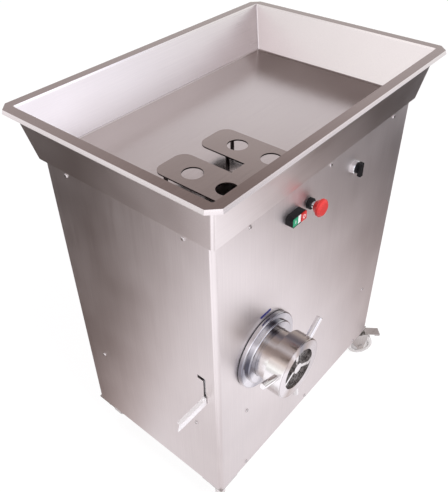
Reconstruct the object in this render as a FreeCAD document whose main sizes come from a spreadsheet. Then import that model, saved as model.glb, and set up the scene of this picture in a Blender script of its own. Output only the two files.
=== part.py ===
import FreeCAD, Part
import math
import os
from types import SimpleNamespace

import Sketcher
from FreeCAD import Placement, Rotation, Vector

# Driving dimensions in millimetres, degrees or counts.
# Cabinet places are measured from the cabinet's plan centre and its lower edge.
# Head and drive places are measured out of the front panel, so inside the cabinet they are negative.
SIZES = {
    # Cabinet
    "cabinet_x": 20.5,
    "cabinet_y": 22.5,
    "cabinet_lift": 105.0,
    "cabinet_width": 720.0,
    "cabinet_depth": 462.0,
    "cabinet_height": 800.0,
    "panel_gauge": 1.5,
    "panel_fit": 0.2,
    "panel_bend": 10.0,
    "panel_return": 10.0,
    "vent_length": 90.0,
    "vent_height": 6.0,
    "vent_pitch": 18.0,
    "vent_column": 70.0,
    "vent_low_z": 300.0,
    "vent_rows": 9,
    # Panel screws
    "screw_centre_x": 8.0,
    "screw_column": 268.0,
    "screw_row_top": 784.0,
    "screw_row_middle": 235.0,
    "screw_row_bottom": 14.0,
    "screw_side_y": 161.0,
    "screw_head_radius": 4.75,
    "screw_crown_radius": 3.2,
    "screw_head_height": 2.6,
    "screw_socket_radius": 1.6,
    "screw_socket_depth": 1.6,
    "screw_shank_radius": 2.4,
    "screw_length": 12.0,
    "screw_hole_radius": 2.6,
    # Welded angle frame
    "angle_leg": 28.0,
    "angle_gauge": 4.0,
    "rail_middle_z": 222.0,
    "cross_height": 25.0,
    "cross_front_y": -80.0,
    "cross_rear_y": -30.0,
    # Feed tray and its skirt
    "tray_gauge": 1.5,
    "tray_floor_z": 814.0,
    "tray_floor_inset": 16.0,
    "tray_mouth_out": 25.0,
    "tray_fold_radius": 4.0,
    "rim_z": 917.0,
    "rim_out": 49.0,
    "rim_lip": 8.5,
    "rim_taper": 16.0,
    "rim_chamfer": 21.0,
    "skirt_foot_out": 8.0,
    "skirt_head_out": 29.0,
    "skirt_ledge_in": 22.0,
    "skirt_corner": 7.0,
    # Throat, chute and finger guard
    "throat_x": -210.0,
    "throat_y": -150.0,
    "throat_radius": 46.0,
    "chute_wall": 3.0,
    "guard_width": 210.0,
    "guard_back_y": -35.0,
    "guard_front_y": -220.0,
    "guard_gap": 31.0,
    "guard_gauge": 3.0,
    "guard_corner": 24.0,
    "guard_notch_width": 39.0,
    "guard_notch_end_y": -155.0,
    "guard_hole_radius": 21.0,
    "guard_hole_x": 65.0,
    "guard_hole_back_y": -101.0,
    "guard_hole_front_y": -183.0,
    "guard_leg_radius": 4.0,
    "guard_leg_x": 96.0,
    "guard_leg_back_y": -62.0,
    "guard_leg_front_y": -204.0,
    "guard_inner_leg_x": 32.0,
    "guard_inner_leg_y": -103.0,
    # Mincing head
    "head_x": -200.0,
    "head_z": 405.0,
    "seal_out": 2.0,
    "seal_radius": 95.0,
    "flange_radius": 96.0,
    "flange_out": 12.0,
    "collar_radius": 79.0,
    "collar_out": 20.0,
    "flange_round": 3.0,
    "collar_round": 4.0,
    "edge_break": 1.5,
    "neck_radius": 60.0,
    "neck_clearance": 0.6,
    "spigot_radius": 62.0,
    "spigot_in": 54.0,
    "spigot_out": 82.0,
    "bore_radius": 52.0,
    "seat_radius": 57.3,
    "seat_in": 54.0,
    "barrel_end": -146.0,
    "barrel_end_wall": 10.0,
    "barrel_end_hole": 26.0,
    "chute_saddle": 60.5,
    "nut_radius": 73.0,
    "nut_in": 52.0,
    "nut_out": 94.0,
    "nut_lip_in": 88.0,
    "nut_round": 3.0,
    "nut_thread_radius": 62.4,
    "outlet_radius": 49.5,
    "handle_radius": 7.5,
    "handle_root": 66.0,
    "handle_tip": 121.0,
    "handle_out": 79.0,
    "handle_round": 2.0,
    "handle_first_angle": 40.0,
    "handle_count": 3,
    # Cutting set
    "cutter_radius": 57.0,
    "knife_in": 55.0,
    "knife_out": 66.5,
    "knife_reach": 54.0,
    "knife_hub_radius": 16.0,
    "knife_blade_root": 17.0,
    "knife_blade_tip": 11.0,
    "knife_blades": 4,
    "knife_square": 16.2,
    "plate_in": 67.0,
    "plate_out": 79.0,
    "plate_hole_radius": 2.7,
    "plate_bore_radius": 8.4,
    "plate_ring_first": 16.5,
    "plate_ring_step": 8.6,
    "plate_ring_holes": 12,
    "plate_ring_more": 6,
    "plate_rings": 5,
    "support_in": 79.2,
    "support_out": 87.8,
    "support_rim_radius": 49.5,
    "support_hub_radius": 13.0,
    "support_hub_front": 91.5,
    "support_spoke": 8.0,
    "support_spokes": 3,
    "key_radius": 3.0,
    "key_in": 58.0,
    "key_out": 78.8,
    "key_clearance": 0.1,
    # Feed worm
    "worm_in": -132.0,
    "worm_journal": 24.0,
    "worm_journal_out": -118.0,
    "worm_core_back": 20.0,
    "worm_core_back_out": -110.0,
    "worm_core_front": 27.0,
    "worm_core_out": 54.5,
    "worm_square": 16.0,
    "worm_pin_radius": 8.0,
    "worm_pin_out": 87.0,
    "worm_socket": 22.4,
    "worm_socket_depth": 27.0,
    "flight_radius": 51.0,
    "flight_start": -106.0,
    "flight_root_width": 12.0,
    "flight_tip_width": 6.0,
    "flight_pitch": 42.0,
    "flight_length": 147.0,
    # Head lock
    "lock_y": -193.0,
    "slot_width": 7.0,
    "slot_low_z": 337.9,
    "slot_high_z": 422.0,
    "slot_jog": 19.0,
    "slot_jog_height": 10.0,
    "lever_tip": -450.0,
    "lever_width": 10.0,
    "lever_gauge": 3.0,
    "lever_stand_off": 2.0,
    "lever_low_z": 338.0,
    "lever_tab_height": 17.0,
    "lever_slant": 7.5,
    "lever_tab_width": 6.0,
    "lever_plate_top_z": 362.0,
    "lever_strap_gauge": 5.0,
    "lever_strap_width": 12.0,
    "lever_strap_gap": 4.0,
    "lever_arm_low_z": 495.0,
    "lever_arm_height": 10.0,
    "bolt_x": -264.0,
    "bolt_radius": 8.0,
    "bolt_low_z": 365.0,
    "bolt_groove_radius": 8.5,
    "bolt_groove_low_z": 345.0,
    "bolt_groove_high_z": 465.0,
    "guide_half_width": 12.0,
    "guide_low_z": 457.0,
    "guide_high_z": 489.0,
    "guide_gauge": 4.0,
    "guide_reach": 11.0,
    "guide_hole_radius": 8.4,
    # Gearbox
    "gear_module": 3.75,
    "gear_teeth": 60,
    "pinion_teeth": 12,
    "pressure_angle": 25.0,
    "gear_backlash": 0.6,
    "gear_in": -204.0,
    "gear_out": -174.0,
    "gear_web_in": -196.0,
    "gear_web_out": -182.0,
    "gear_web_hub": 34.0,
    "gear_web_rim": 96.0,
    "shaft_radius": 20.0,
    "shaft_fit": 0.05,
    "shaft_in": -230.0,
    "shaft_shoulder_out": -133.0,
    "shaft_tenon": 22.0,
    "shaft_tenon_out": -106.0,
    "housing_radius": 128.0,
    "housing_pinion_radius": 44.0,
    "housing_in": -226.0,
    "housing_front_wall": 12.0,
    "housing_cavity": 119.5,
    "housing_pinion_cavity": 29.0,
    "housing_foot_half": 100.0,
    "housing_foot_top": 60.0,
    "boss_radius": 50.0,
    "socket_radius": 76.0,
    "socket_depth": 10.0,
    "cover_in": -238.0,
    "cover_boss_out": -212.0,
    "oil_seal_in": -151.0,
    "oil_seal_radius": 32.0,
    "bearing_front_in": -170.0,
    "bearing_front_out": -152.0,
    "bearing_rear_in": -231.0,
    "bearing_rear_out": -213.0,
    "bearing_radius": 40.0,
    # Motor
    "motor_flange_radius": 118.0,
    "motor_flange_in": -250.0,
    "motor_radius": 92.0,
    "motor_cavity_out": -266.0,
    "motor_cavity_in": -366.0,
    "motor_cavity_radius": 80.0,
    "motor_end": -389.0,
    "motor_shoulder_radius": 100.0,
    "motor_shoulder_out": -378.0,
    "motor_shoulder_in": -383.0,
    "motor_shaft_hole": 14.0,
    "motor_shaft_radius": 12.0,
    "motor_shaft_out": -172.0,
    "motor_shaft_in": -414.0,
    "motor_bearing_radius": 26.0,
    "motor_bearing_rear_radius": 22.0,
    "motor_bearing_rear_in": -381.0,
    "motor_fin_reach": 104.0,
    "motor_fin_gauge": 3.0,
    "motor_fin_out": -256.0,
    "motor_fin_in": -376.0,
    "motor_fins": 28,
    "stator_radius": 58.0,
    "stator_out": -282.0,
    "stator_in": -352.0,
    "rotor_radius": 57.3,
    "fan_in": -416.0,
    "fan_out": -396.0,
    "fan_hub_radius": 24.0,
    "fan_reach": 82.0,
    "fan_blade_gauge": 2.5,
    "fan_back_gauge": 3.0,
    "fan_blades": 9,
    "cowl_in": -431.0,
    "cowl_gauge": 2.0,
    "cowl_slot_width": 7.0,
    "cowl_slot_inner": 30.0,
    "cowl_slot_outer": 86.0,
    "cowl_slots": 16,
    "terminal_half_width": 45.0,
    "terminal_out": -280.0,
    "terminal_in": -350.0,
    "terminal_height": 45.0,
    "terminal_lid": 3.0,
    "drive_bolt_radius": 4.0,
    "drive_bolt_head": 6.5,
    "drive_bolt_head_height": 5.0,
    "drive_bolt_length": 20.0,
    "motor_bolt_circle": 108.0,
    "motor_bolt_first_angle": 45.0,
    # Controls
    "control_z": 729.0,
    "double_x": -122.0,
    "double_width": 50.0,
    "double_height": 25.0,
    "double_corner": 6.0,
    "double_out": 16.0,
    "double_wall": 3.0,
    "double_well_in": 5.0,
    "double_lens_width": 9.0,
    "double_gap": 0.4,
    "button_in": 9.5,
    "start_out": 16.6,
    "stop_out": 18.6,
    "lens_out": 16.4,
    "estop_x": -64.0,
    "estop_collar_radius": 12.5,
    "estop_collar_out": 9.0,
    "estop_bore_in": -22.0,
    "plunger_radius": 7.8,
    "plunger_in": -14.0,
    "plunger_out": 27.0,
    "plunger_bore": 8.2,
    "cap_in": 16.0,
    "cap_neck_radius": 11.0,
    "cap_flare_out": 27.0,
    "cap_radius": 19.5,
    "cap_rim_out": 32.0,
    "cap_out": 36.0,
    "cap_crown_radius": 15.0,
    "cap_round": 1.5,
    "selector_x": 113.0,
    "bezel_radius": 15.0,
    "bezel_out": 8.0,
    "knob_in": -8.0,
    "knob_disc_in": 8.4,
    "knob_disc_out": 12.0,
    "knob_disc_radius": 12.0,
    "knob_out": 21.0,
    "knob_half_width": 5.0,
    "knob_up": 15.0,
    "knob_down": 18.0,
    "switch_hole": 11.3,
    "switch_stem": 11.0,
    "switch_stem_in": -8.0,
    "block_half_width": 15.0,
    "block_half_height": 20.0,
    "block_in": -52.0,
    "control_box_reach": 105.0,
    "control_box_half": 110.0,
    "control_box_low_z": 300.0,
    "control_box_high_z": 600.0,
    "control_box_wall": 2.0,
    "gland_x": 250.0,
    "gland_z": 120.0,
    "gland_thread_radius": 10.0,
    "gland_hole_radius": 10.2,
    "gland_nut_radius": 15.0,
    "gland_nut_out": 7.0,
    "gland_cap_radius": 12.5,
    "gland_out": 24.0,
    "gland_bore": 6.0,
    "gland_in": -14.0,
    # Casters
    "caster_inset": 32.0,
    "heading_front_left": 45.0,
    "heading_front_right": -45.0,
    "heading_rear_left": 0.0,
    "heading_rear_right": 20.0,
    "caster_trail": 32.0,
    "caster_plate": 64.0,
    "caster_plate_gauge": 4.0,
    "race_radius": 25.0,
    "race_low_z": 92.6,
    "kingpin_radius": 7.0,
    "kingpin_head_radius": 10.0,
    "kingpin_head_low_z": 77.0,
    "kingpin_head_high_z": 81.0,
    "crown_low_z": 84.0,
    "crown_high_z": 92.0,
    "crown_radius": 26.0,
    "crown_hole": 7.4,
    "crown_front": 34.0,
    "fork_inner": 17.0,
    "fork_outer": 20.0,
    "wheel_radius": 40.0,
    "wheel_half_width": 13.0,
    "wheel_hub_radius": 12.0,
    "wheel_hub_half": 16.0,
    "wheel_web_half": 7.0,
    "wheel_rim_radius": 29.0,
    "wheel_edge": 4.0,
    "axle_radius": 5.0,
    "axle_head_radius": 8.0,
    "axle_reach": 24.0,
    "axle_fit": 0.05,
    "pedal_pivot_x": 45.0,
    "pedal_pivot_z": 87.0,
    "pedal_pin_radius": 3.0,
    "pedal_barrel_radius": 5.0,
    "pedal_half_width": 14.0,
    "pedal_gauge": 3.5,
    "pedal_length": 47.0,
    "pedal_toe": 16.0,
    "pedal_slope": 10.0,
}

NODES = {}
UP = Vector(0, 0, 1)
ACROSS = Vector(1, 0, 0)
UPRIGHT = Rotation()
# Turns a local +Z outwards through the front panel, with local +Y up.
OUT_OF_FRONT = Rotation(ACROSS, 90)


class Dim:
    """A length with its number and the spreadsheet expression that it comes from."""

    def __init__(self, value, text):
        self.value = float(value)
        self.text = text

    def __add__(self, other):
        other = as_dim(other)
        return Dim(self.value + other.value, f"({self.text} + ({other.text}))")

    def __sub__(self, other):
        other = as_dim(other)
        return Dim(self.value - other.value, f"({self.text} - ({other.text}))")

    def __rsub__(self, other):
        return as_dim(other) - self

    def __mul__(self, other):
        other = as_dim(other)
        return Dim(self.value * other.value, f"({self.text} * ({other.text}))")

    def __truediv__(self, other):
        other = as_dim(other)
        return Dim(self.value / other.value, f"({self.text} / ({other.text}))")

    def __neg__(self):
        return self * -1

    __radd__ = __add__
    __rmul__ = __mul__


def as_dim(item):
    """A plain number as a Dim."""
    if isinstance(item, Dim):
        return item
    return Dim(item, repr(float(item)))


def cosine(angle):
    return Dim(math.cos(math.radians(angle.value)), f"cos({angle.text} * 1 deg)")


def sine(angle):
    return Dim(math.sin(math.radians(angle.value)), f"sin({angle.text} * 1 deg)")


def make_sheet():
    """Spreadsheet of the driving dimensions, and the same values as Dims."""
    sheet = doc.addObject("Spreadsheet::Sheet", "Sizes")
    for row, (name, value) in enumerate(SIZES.items(), 1):
        sheet.set(f"A{row}", name)
        sheet.set(f"B{row}", str(value))
        sheet.setAlias(f"B{row}", name)
    doc.recompute()
    return SimpleNamespace(**{name: Dim(value, f"Sizes.{name}") for name, value in SIZES.items()})


def bind(obj, **properties):
    """Bind properties of an object to spreadsheet expressions."""
    for name, dim in properties.items():
        obj.setExpression(name, as_dim(dim).text)


def place(obj, x=0, y=0, z=0, rotation=UPRIGHT):
    """Put an object at a bound place, turned by a rotation."""
    spot = [as_dim(item) for item in (x, y, z)]
    obj.Placement = Placement(Vector(*[dim.value for dim in spot]), rotation)
    for axis, dim in zip("xyz", spot):
        obj.setExpression(f"Placement.Base.{axis}", dim.text)
    return obj


def at_front(obj, x, z, rotation=UPRIGHT):
    """Put an object on the front panel, with its local +Z pointing out."""
    return place(obj, x, front, z, OUT_OF_FRONT.multiply(rotation))


def node(label, obj):
    """Register an object as the sub-part of that name."""
    obj.Label = label
    NODES[label] = obj
    return obj


def box(x0, x1, y0, y1, z0, z1):
    """Block between two corners, given in any order."""
    spans = []
    for low, high in ((x0, x1), (y0, y1), (z0, z1)):
        low, high = as_dim(low), as_dim(high)
        spans.append((low, high) if low.value <= high.value else (high, low))
    obj = doc.addObject("Part::Box", "Block")
    lengths = [high - low for low, high in spans]
    bind(obj, Length=lengths[0], Width=lengths[1], Height=lengths[2])
    return place(obj, spans[0][0], spans[1][0], spans[2][0])


def rod(radius, length, sweep=360):
    """Round bar, or a sector of one, along its local +Z from the origin."""
    obj = doc.addObject("Part::Cylinder", "Rod")
    bind(obj, Radius=radius, Height=length)
    obj.Angle = sweep
    return obj


def rod_up(x, y, z0, z1, radius):
    return place(rod(radius, z1 - z0), x, y, z0)


def rod_out(x, z, low, high, radius):
    """Round bar through the front panel, between two distances out of it."""
    return place(rod(radius, high - low), x, front - low, z, OUT_OF_FRONT)


def frustum(z0, z1, foot, head):
    """Four-sided block about the cabinet's centre, grown by foot below and head above."""
    obj = doc.addObject("Part::Wedge", "Frustum")
    half_x, half_y = s.cabinet_width / 2, s.cabinet_depth / 2
    bind(obj, Ymin=0, Ymax=z1 - z0)
    bind(obj, Xmin=-(half_x + foot), Xmax=half_x + foot, Zmin=-(half_y + foot), Zmax=half_y + foot)
    bind(obj, X2min=-(half_x + head), X2max=half_x + head)
    bind(obj, Z2min=-(half_y + head), Z2max=half_y + head)
    return place(obj, s.cabinet_x, s.cabinet_y, z0, OUT_OF_FRONT)


def fuse(*shapes):
    obj = doc.addObject("Part::MultiFuse", "Joined")
    obj.Shapes = list(shapes)
    obj.Refine = True
    return obj


def cut(base, *tools):
    obj = doc.addObject("Part::Cut", "Trimmed")
    obj.Base = base
    obj.Tool = tools[0] if len(tools) == 1 else fuse(*tools)
    return obj


def group(*shapes):
    """Separate solids kept together in one sub-part."""
    obj = doc.addObject("Part::Compound", "Group")
    obj.Links = list(shapes)
    return obj


def sketch_on(body, role, offset=0):
    """Empty sketch on one of the body's own origin planes."""
    sketch = body.newObject("Sketcher::SketchObject", "Sketch")
    plane = next(item for item in body.Origin.OriginFeatures if item.Role == role)
    sketch.AttachmentSupport = [(plane, "")]
    sketch.MapMode = "FlatFace"
    sketch.setExpression("AttachmentOffset.Base.z", as_dim(offset).text)
    return sketch


def pin_point(sketch, index, position, u, v):
    """Hold one point of the sketch's geometry at bound distances from the origin."""
    for kind, axis, dim in (("DistanceX", -2, as_dim(u)), ("DistanceY", -1, as_dim(v))):
        if dim.value == 0:
            sketch.addConstraint(Sketcher.Constraint("PointOnObject", index, position, axis))
            continue
        place_in_list = sketch.addConstraint(
            Sketcher.Constraint(kind, -1, 1, index, position, dim.value))
        sketch.setExpression(f"Constraints[{place_in_list}]", dim.text)


def draw_outline(sketch, points):
    """Closed straight-sided outline through bound points."""
    spots = [Vector(as_dim(u).value, as_dim(v).value, 0) for u, v in points]
    first = sketch.GeometryCount
    count = len(spots)
    for step in range(count):
        sketch.addGeometry(Part.LineSegment(spots[step], spots[(step + 1) % count]), False)
    for step in range(count):
        following = first + (step + 1) % count
        sketch.addConstraint(Sketcher.Constraint("Coincident", first + step, 2, following, 1))
    for step, (u, v) in enumerate(points):
        pin_point(sketch, first + step, 1, u, v)


def draw_circle(sketch, u, v, radius):
    """Circle with a bound centre and radius."""
    radius = as_dim(radius)
    centre = Vector(as_dim(u).value, as_dim(v).value, 0)
    index = sketch.addGeometry(Part.Circle(centre, UP, radius.value), False)
    pin_point(sketch, index, 3, u, v)
    place_in_list = sketch.addConstraint(Sketcher.Constraint("Radius", index, radius.value))
    sketch.setExpression(f"Constraints[{place_in_list}]", radius.text)


def new_body():
    return doc.addObject("PartDesign::Body", "Body")


def revolve(body, profile):
    """Turn a profile of (radius, height) points about the body's Z axis."""
    sketch = sketch_on(body, "XZ_Plane")
    draw_outline(sketch, profile)
    feature = body.newObject("PartDesign::Revolution", "Turned")
    feature.Profile = sketch
    feature.ReferenceAxis = (sketch, ["V_Axis"])
    feature.Angle = 360
    return feature


def turned(profile, rounds=()):
    """Turned body, with the edges at each (radius, height, size) of rounds filleted."""
    body = new_body()
    revolve(body, profile)
    for radius, height, size in rounds:
        round_edge(body, radius, height, size)
    return body


def round_edge(body, radius, height, size):
    """Fillet the circular edge of that radius and height."""
    doc.recompute()
    base = body.Tip
    names = []
    for index, edge in enumerate(base.Shape.Edges, 1):
        level = abs(edge.Vertexes[0].Z - as_dim(height).value) < 1e-6
        if level and isinstance(edge.Curve, Part.Circle) and abs(edge.Curve.Radius - radius.value) < 1e-6:
            names.append(f"Edge{index}")
    feature = body.newObject("PartDesign::Fillet", "Rounded")
    feature.Base = (base, names)
    bind(feature, Radius=size)


def ring_profile(inner, outer, low, high):
    return [(inner, low), (outer, low), (outer, high), (inner, high)]


def pad(body, length, offset=0, points=None, circle=None):
    """Extrude an outline or a circle along the body's +Z from an offset plane."""
    sketch = sketch_on(body, "XY_Plane", offset)
    if points:
        draw_outline(sketch, points)
    if circle:
        draw_circle(sketch, *circle)
    feature = body.newObject("PartDesign::Pad", "Pad")
    feature.Profile = sketch
    bind(feature, Length=length)
    return feature


def pocket(body, length, offset, points=None, circle=None):
    """Cut an outline or a circle along the body's +Z from an offset plane."""
    sketch = sketch_on(body, "XY_Plane", offset)
    if points:
        draw_outline(sketch, points)
    if circle:
        draw_circle(sketch, *circle)
    doc.recompute()
    before = body.Shape.Volume
    feature = body.newObject("PartDesign::Pocket", "Pocket")
    feature.Profile = sketch
    feature.Reversed = True
    bind(feature, Length=length)
    doc.recompute()
    if body.Shape.Volume >= before:
        raise RuntimeError("a pocket cut nothing")
    return feature


def polar(body, feature, count):
    """Repeat a feature evenly round the body's Z axis."""
    axis = next(item for item in body.Origin.OriginFeatures if item.Role == "Z_Axis")
    pattern = body.newObject("PartDesign::PolarPattern", "Around")
    pattern.Originals = [feature]
    pattern.Axis = (axis, [""])
    pattern.Angle = 360
    bind(pattern, Occurrences=count)
    body.Tip = pattern
    doc.recompute()
    return pattern


def square_points(side):
    half = side / 2
    return [(-half, -half), (half, -half), (half, half), (-half, half)]


def solid_feature(shape):
    """Sub-part whose shape is worked out directly."""
    obj = doc.addObject("Part::Feature", "Solid")
    obj.Shape = shape
    return obj


# Cabinet sheets


def bent_panel(face_y, inward):
    """Sheet across the cabinet with a rounded bend and a short return at each side."""
    edge = s.panel_gauge + s.panel_fit
    bend_y = face_y + s.panel_bend * inward
    start_angles = {(-1, 1): 180, (1, 1): 270, (-1, -1): 90, (1, -1): 0}
    face_left, face_right = left + edge + s.panel_bend, right - edge - s.panel_bend
    pieces = [box(face_left, face_right, face_y, face_y + s.panel_gauge * inward, bottom, top)]
    for side, bend_x in ((-1, face_left), (1, face_right)):
        turn = Rotation(UP, start_angles[(side, inward)])
        outer = place(rod(s.panel_bend, s.cabinet_height, 90), bend_x, bend_y, bottom, turn)
        inner_radius = s.panel_bend - s.panel_gauge
        inner = place(rod(inner_radius, s.cabinet_height, 90), bend_x, bend_y, bottom, turn)
        pieces.append(cut(outer, inner))
        outer_x = bend_x + s.panel_bend * side
        return_x = outer_x - s.panel_gauge * side
        return_y = bend_y + s.panel_return * inward
        pieces.append(box(outer_x, return_x, bend_y, return_y, bottom, top))
    return fuse(*pieces)


def screw_spots():
    """Screw places as (face, along, height), along being x on front and back, y on the sides."""
    rows = (
        (s.screw_row_top, (-1, 0, 1)),
        (s.screw_row_middle, (-1, 1)),
        (s.screw_row_bottom, (-1, 0, 1)),
    )
    spots = []
    for face in ("front", "back"):
        for height, columns in rows:
            for column in columns:
                along = s.cabinet_x + s.screw_centre_x + s.screw_column * column
                spots.append((face, along, bottom + height))
    for face in ("left", "right"):
        for height in (s.screw_row_top, s.screw_row_middle):
            for side in (-1, 1):
                spots.append((face, s.cabinet_y + s.screw_side_y * side, bottom + height))
    return spots


def at_screw(obj, spot):
    """Put an object at a screw place, with its local +Z out of that face."""
    face, along, height = spot
    places = {
        "front": (along, front, Rotation(ACROSS, 90)),
        "back": (along, back, Rotation(ACROSS, -90)),
        "left": (left, along, Rotation(Vector(0, 1, 0), -90)),
        "right": (right, along, Rotation(Vector(0, 1, 0), 90)),
    }
    x, y, rotation = places[face]
    return place(obj, x, y, height, rotation)


def screw_holes(*faces):
    """Clearance holes for the screws of the named faces."""
    holes = []
    for spot in screw_spots():
        if spot[0] in faces:
            drill = rod(s.screw_hole_radius, s.screw_length * 2)
            drill.Placement = Placement(Vector(0, 0, -s.screw_length.value), UPRIGHT)
            holes.append(at_screw(group(drill), spot))
    return holes


def make_front_panel():
    holes = [rod_out(head_x, head_z, -s.angle_leg, s.angle_leg, s.neck_radius + s.neck_clearance)]
    for switch_x in (s.double_x, s.estop_x, s.selector_x):
        spot = (s.cabinet_x + switch_x, bottom + s.control_z)
        holes.append(rod_out(*spot, -s.angle_leg, s.angle_leg, s.switch_hole))
    node("front_panel", cut(bent_panel(front, 1), *holes, *screw_holes("front")))


def make_rear_panel():
    holes = [place(rod(s.gland_hole_radius, s.angle_leg), s.cabinet_x + s.gland_x, back - s.panel_return,
                   bottom + s.gland_z, Rotation(ACROSS, -90))]
    for row in range(int(s.vent_rows.value)):
        low = bottom + s.vent_low_z + s.vent_pitch * row
        for side in (-1, 1):
            middle = s.cabinet_x + s.vent_column * side
            holes.append(box(middle - s.vent_length / 2, middle + s.vent_length / 2,
                             back - s.panel_bend, back + s.panel_bend, low, low + s.vent_height))
    node("rear_panel", cut(bent_panel(back, -1), *holes, *screw_holes("back")))


def make_side_panels():
    ends = (front + s.panel_bend, back - s.panel_bend)
    slot_y = s.cabinet_y + s.lock_y
    outside, inside = left - s.panel_bend, left + s.panel_bend
    slot_top = bottom + s.slot_high_z
    slot = box(outside, inside, slot_y - s.slot_width / 2, slot_y + s.slot_width / 2,
               bottom + s.slot_low_z, slot_top)
    jog = box(outside, inside, slot_y, slot_y + s.slot_jog, slot_top - s.slot_jog_height, slot_top)
    sheet = box(left, left + s.panel_gauge, *ends, bottom, top)
    node("left_panel", cut(sheet, slot, jog, *screw_holes("left")))
    sheet = box(right - s.panel_gauge, right, *ends, bottom, top)
    node("right_panel", cut(sheet, *screw_holes("right")))


def make_panel_screws():
    crown = s.screw_head_height
    profile = [
        (0, -s.screw_length),
        (s.screw_shank_radius, -s.screw_length),
        (s.screw_shank_radius, 0),
        (s.screw_head_radius, 0),
        (s.screw_head_radius, crown / 3),
        (s.screw_crown_radius, crown),
        (s.screw_socket_radius, crown),
        (s.screw_socket_radius, crown - s.screw_socket_depth),
        (0, crown - s.screw_socket_depth),
    ]
    node("panel_screws", group(*[at_screw(turned(profile), spot) for spot in screw_spots()]))


# Welded frame and base


def corner_reliefs():
    """Cutters that round the outer corners at the posts, clear of the panels' bends."""
    radius, extra = s.panel_bend, s.panel_gauge
    cutters = []
    for x, turn_x in ((post_left, 1), (post_right, -1)):
        for y, turn_y in ((post_front, 1), (post_back, -1)):
            centre = (x + radius * turn_x, y + radius * turn_y)
            span = (bottom - extra, top + extra)
            corner = box(x - extra * turn_x, centre[0], y - extra * turn_y, centre[1], *span)
            cutters.append(cut(corner, rod_up(*centre, *span, radius)))
    return cutters


def make_base_frame():
    """Four angle posts, three rings of angle rails and two bearers under the gearbox."""
    gauge, leg = s.angle_gauge, s.angle_leg
    floor_z = bottom + s.panel_gauge
    sides_x = ((post_left, 1), (post_right, -1))
    sides_y = ((post_front, 1), (post_back, -1))
    bars = []
    for x, turn_x in sides_x:
        for y, turn_y in sides_y:
            bars.append(box(x, x + gauge * turn_x, y, y + leg * turn_y, floor_z, top))
            bars.append(box(x, x + leg * turn_x, y, y + gauge * turn_y, floor_z, top))
    middle_z = bottom + s.rail_middle_z
    rings = (
        (floor_z, floor_z + leg, floor_z),
        (middle_z, middle_z + leg, middle_z + leg - gauge),
        (top - leg, top, top - gauge),
    )
    for low, high, shelf in rings:
        for x, turn in sides_x:
            bars.append(box(x, x + gauge * turn, post_front, post_back, low, high))
            bars.append(box(x, x + leg * turn, post_front, post_back, shelf, shelf + gauge))
        for y, turn in sides_y:
            bars.append(box(post_left, post_right, y, y + gauge * turn, low, high))
            bars.append(box(post_left, post_right, y, y + leg * turn, shelf, shelf + gauge))
    rest_z = middle_z + leg
    for bearer_y in (s.cross_front_y, s.cross_rear_y):
        y = s.cabinet_y + bearer_y
        bars.append(box(post_left, post_right, y, y + gauge, rest_z, rest_z + s.cross_height))
        bars.append(box(post_left, post_right, y, y + leg, rest_z + s.cross_height - gauge,
                        rest_z + s.cross_height))
    node("base_frame", cut(fuse(*bars), *corner_reliefs(), *screw_holes("front", "back", "left", "right")))


def make_base_plate():
    sheet = box(post_left, post_right, post_front, post_back, bottom, bottom + s.panel_gauge)
    node("base_plate", cut(sheet, *corner_reliefs()))


# Feed tray, chute and guard


def rounded(block, radius, wanted):
    """Fillet the edges of a block that a test picks."""
    edges = []
    for index, edge in enumerate(block.Shape.Edges, 1):
        if wanted(edge):
            edges.append((index, radius.value, radius.value))
    obj = doc.addObject("Part::Fillet", "Rounded")
    obj.Base = block
    obj.Edges = edges
    return obj


def folded(block):
    """Round every edge of a tray block except those of its open top."""
    doc.recompute()
    level = block.Shape.BoundBox.ZMax - s.tray_fold_radius.value
    return rounded(block, s.tray_fold_radius, lambda edge: any(vertex.Z < level for vertex in edge.Vertexes))


def round_cornered(block, radius):
    """Round the upright edges of a block."""
    doc.recompute()
    return rounded(block, radius, lambda edge: abs(edge.Vertexes[0].Z - edge.Vertexes[-1].Z) > 1e-6)


def rim_outline(grow, clip):
    """Clipped rectangle about the origin, grown beyond the cabinet."""
    x, y = s.cabinet_width / 2 + grow, s.cabinet_depth / 2 + grow
    return [
        (-x + clip, -y), (x - clip, -y), (x, -y + clip), (x, y - clip),
        (x - clip, y), (-x + clip, y), (-x, y - clip), (-x, -y + clip),
    ]


def rim_block(grow, clip, low, high):
    """Clipped block that narrows upwards by the lip's taper."""
    body = new_body()
    feature = pad(body, high - low, points=rim_outline(grow, clip))
    bind(feature, TaperAngle=-s.rim_taper)
    return place(body, s.cabinet_x, s.cabinet_y, low)


def make_feed_tray():
    gauge = s.tray_gauge
    floor_z, rim_z = bottom + s.tray_floor_z, bottom + s.rim_z
    inside = folded(frustum(floor_z, rim_z, -s.tray_floor_inset, s.tray_mouth_out))
    outside = folded(frustum(floor_z - gauge, rim_z, gauge - s.tray_floor_inset, s.tray_mouth_out + gauge))
    lip_z = rim_z - s.rim_lip
    rim = rim_block(s.rim_out, s.rim_chamfer, lip_z, rim_z)
    under = rim_block(s.rim_out - gauge, s.rim_chamfer, lip_z, rim_z - gauge)
    throat = rod_up(throat_x, throat_y, floor_z - s.rim_lip, floor_z + s.rim_lip, s.throat_radius)
    node("feed_tray", cut(fuse(cut(outside, inside), cut(rim, under, inside)), throat))


def make_tray_skirt():
    gauge, foot, head, corner = s.tray_gauge, s.skirt_foot_out, s.skirt_head_out, s.skirt_corner
    head_z_level = bottom + s.rim_z - gauge
    outer = round_cornered(frustum(top, head_z_level, foot, head), corner)
    inner = round_cornered(frustum(top, head_z_level, foot - gauge, head - gauge), corner - gauge)
    plate = round_cornered(frustum(top, top + gauge, foot, foot), corner)
    ledge = cut(plate, frustum(top, top + gauge, -s.skirt_ledge_in, -s.skirt_ledge_in))
    node("tray_skirt", fuse(cut(outer, inner), ledge))


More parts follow.
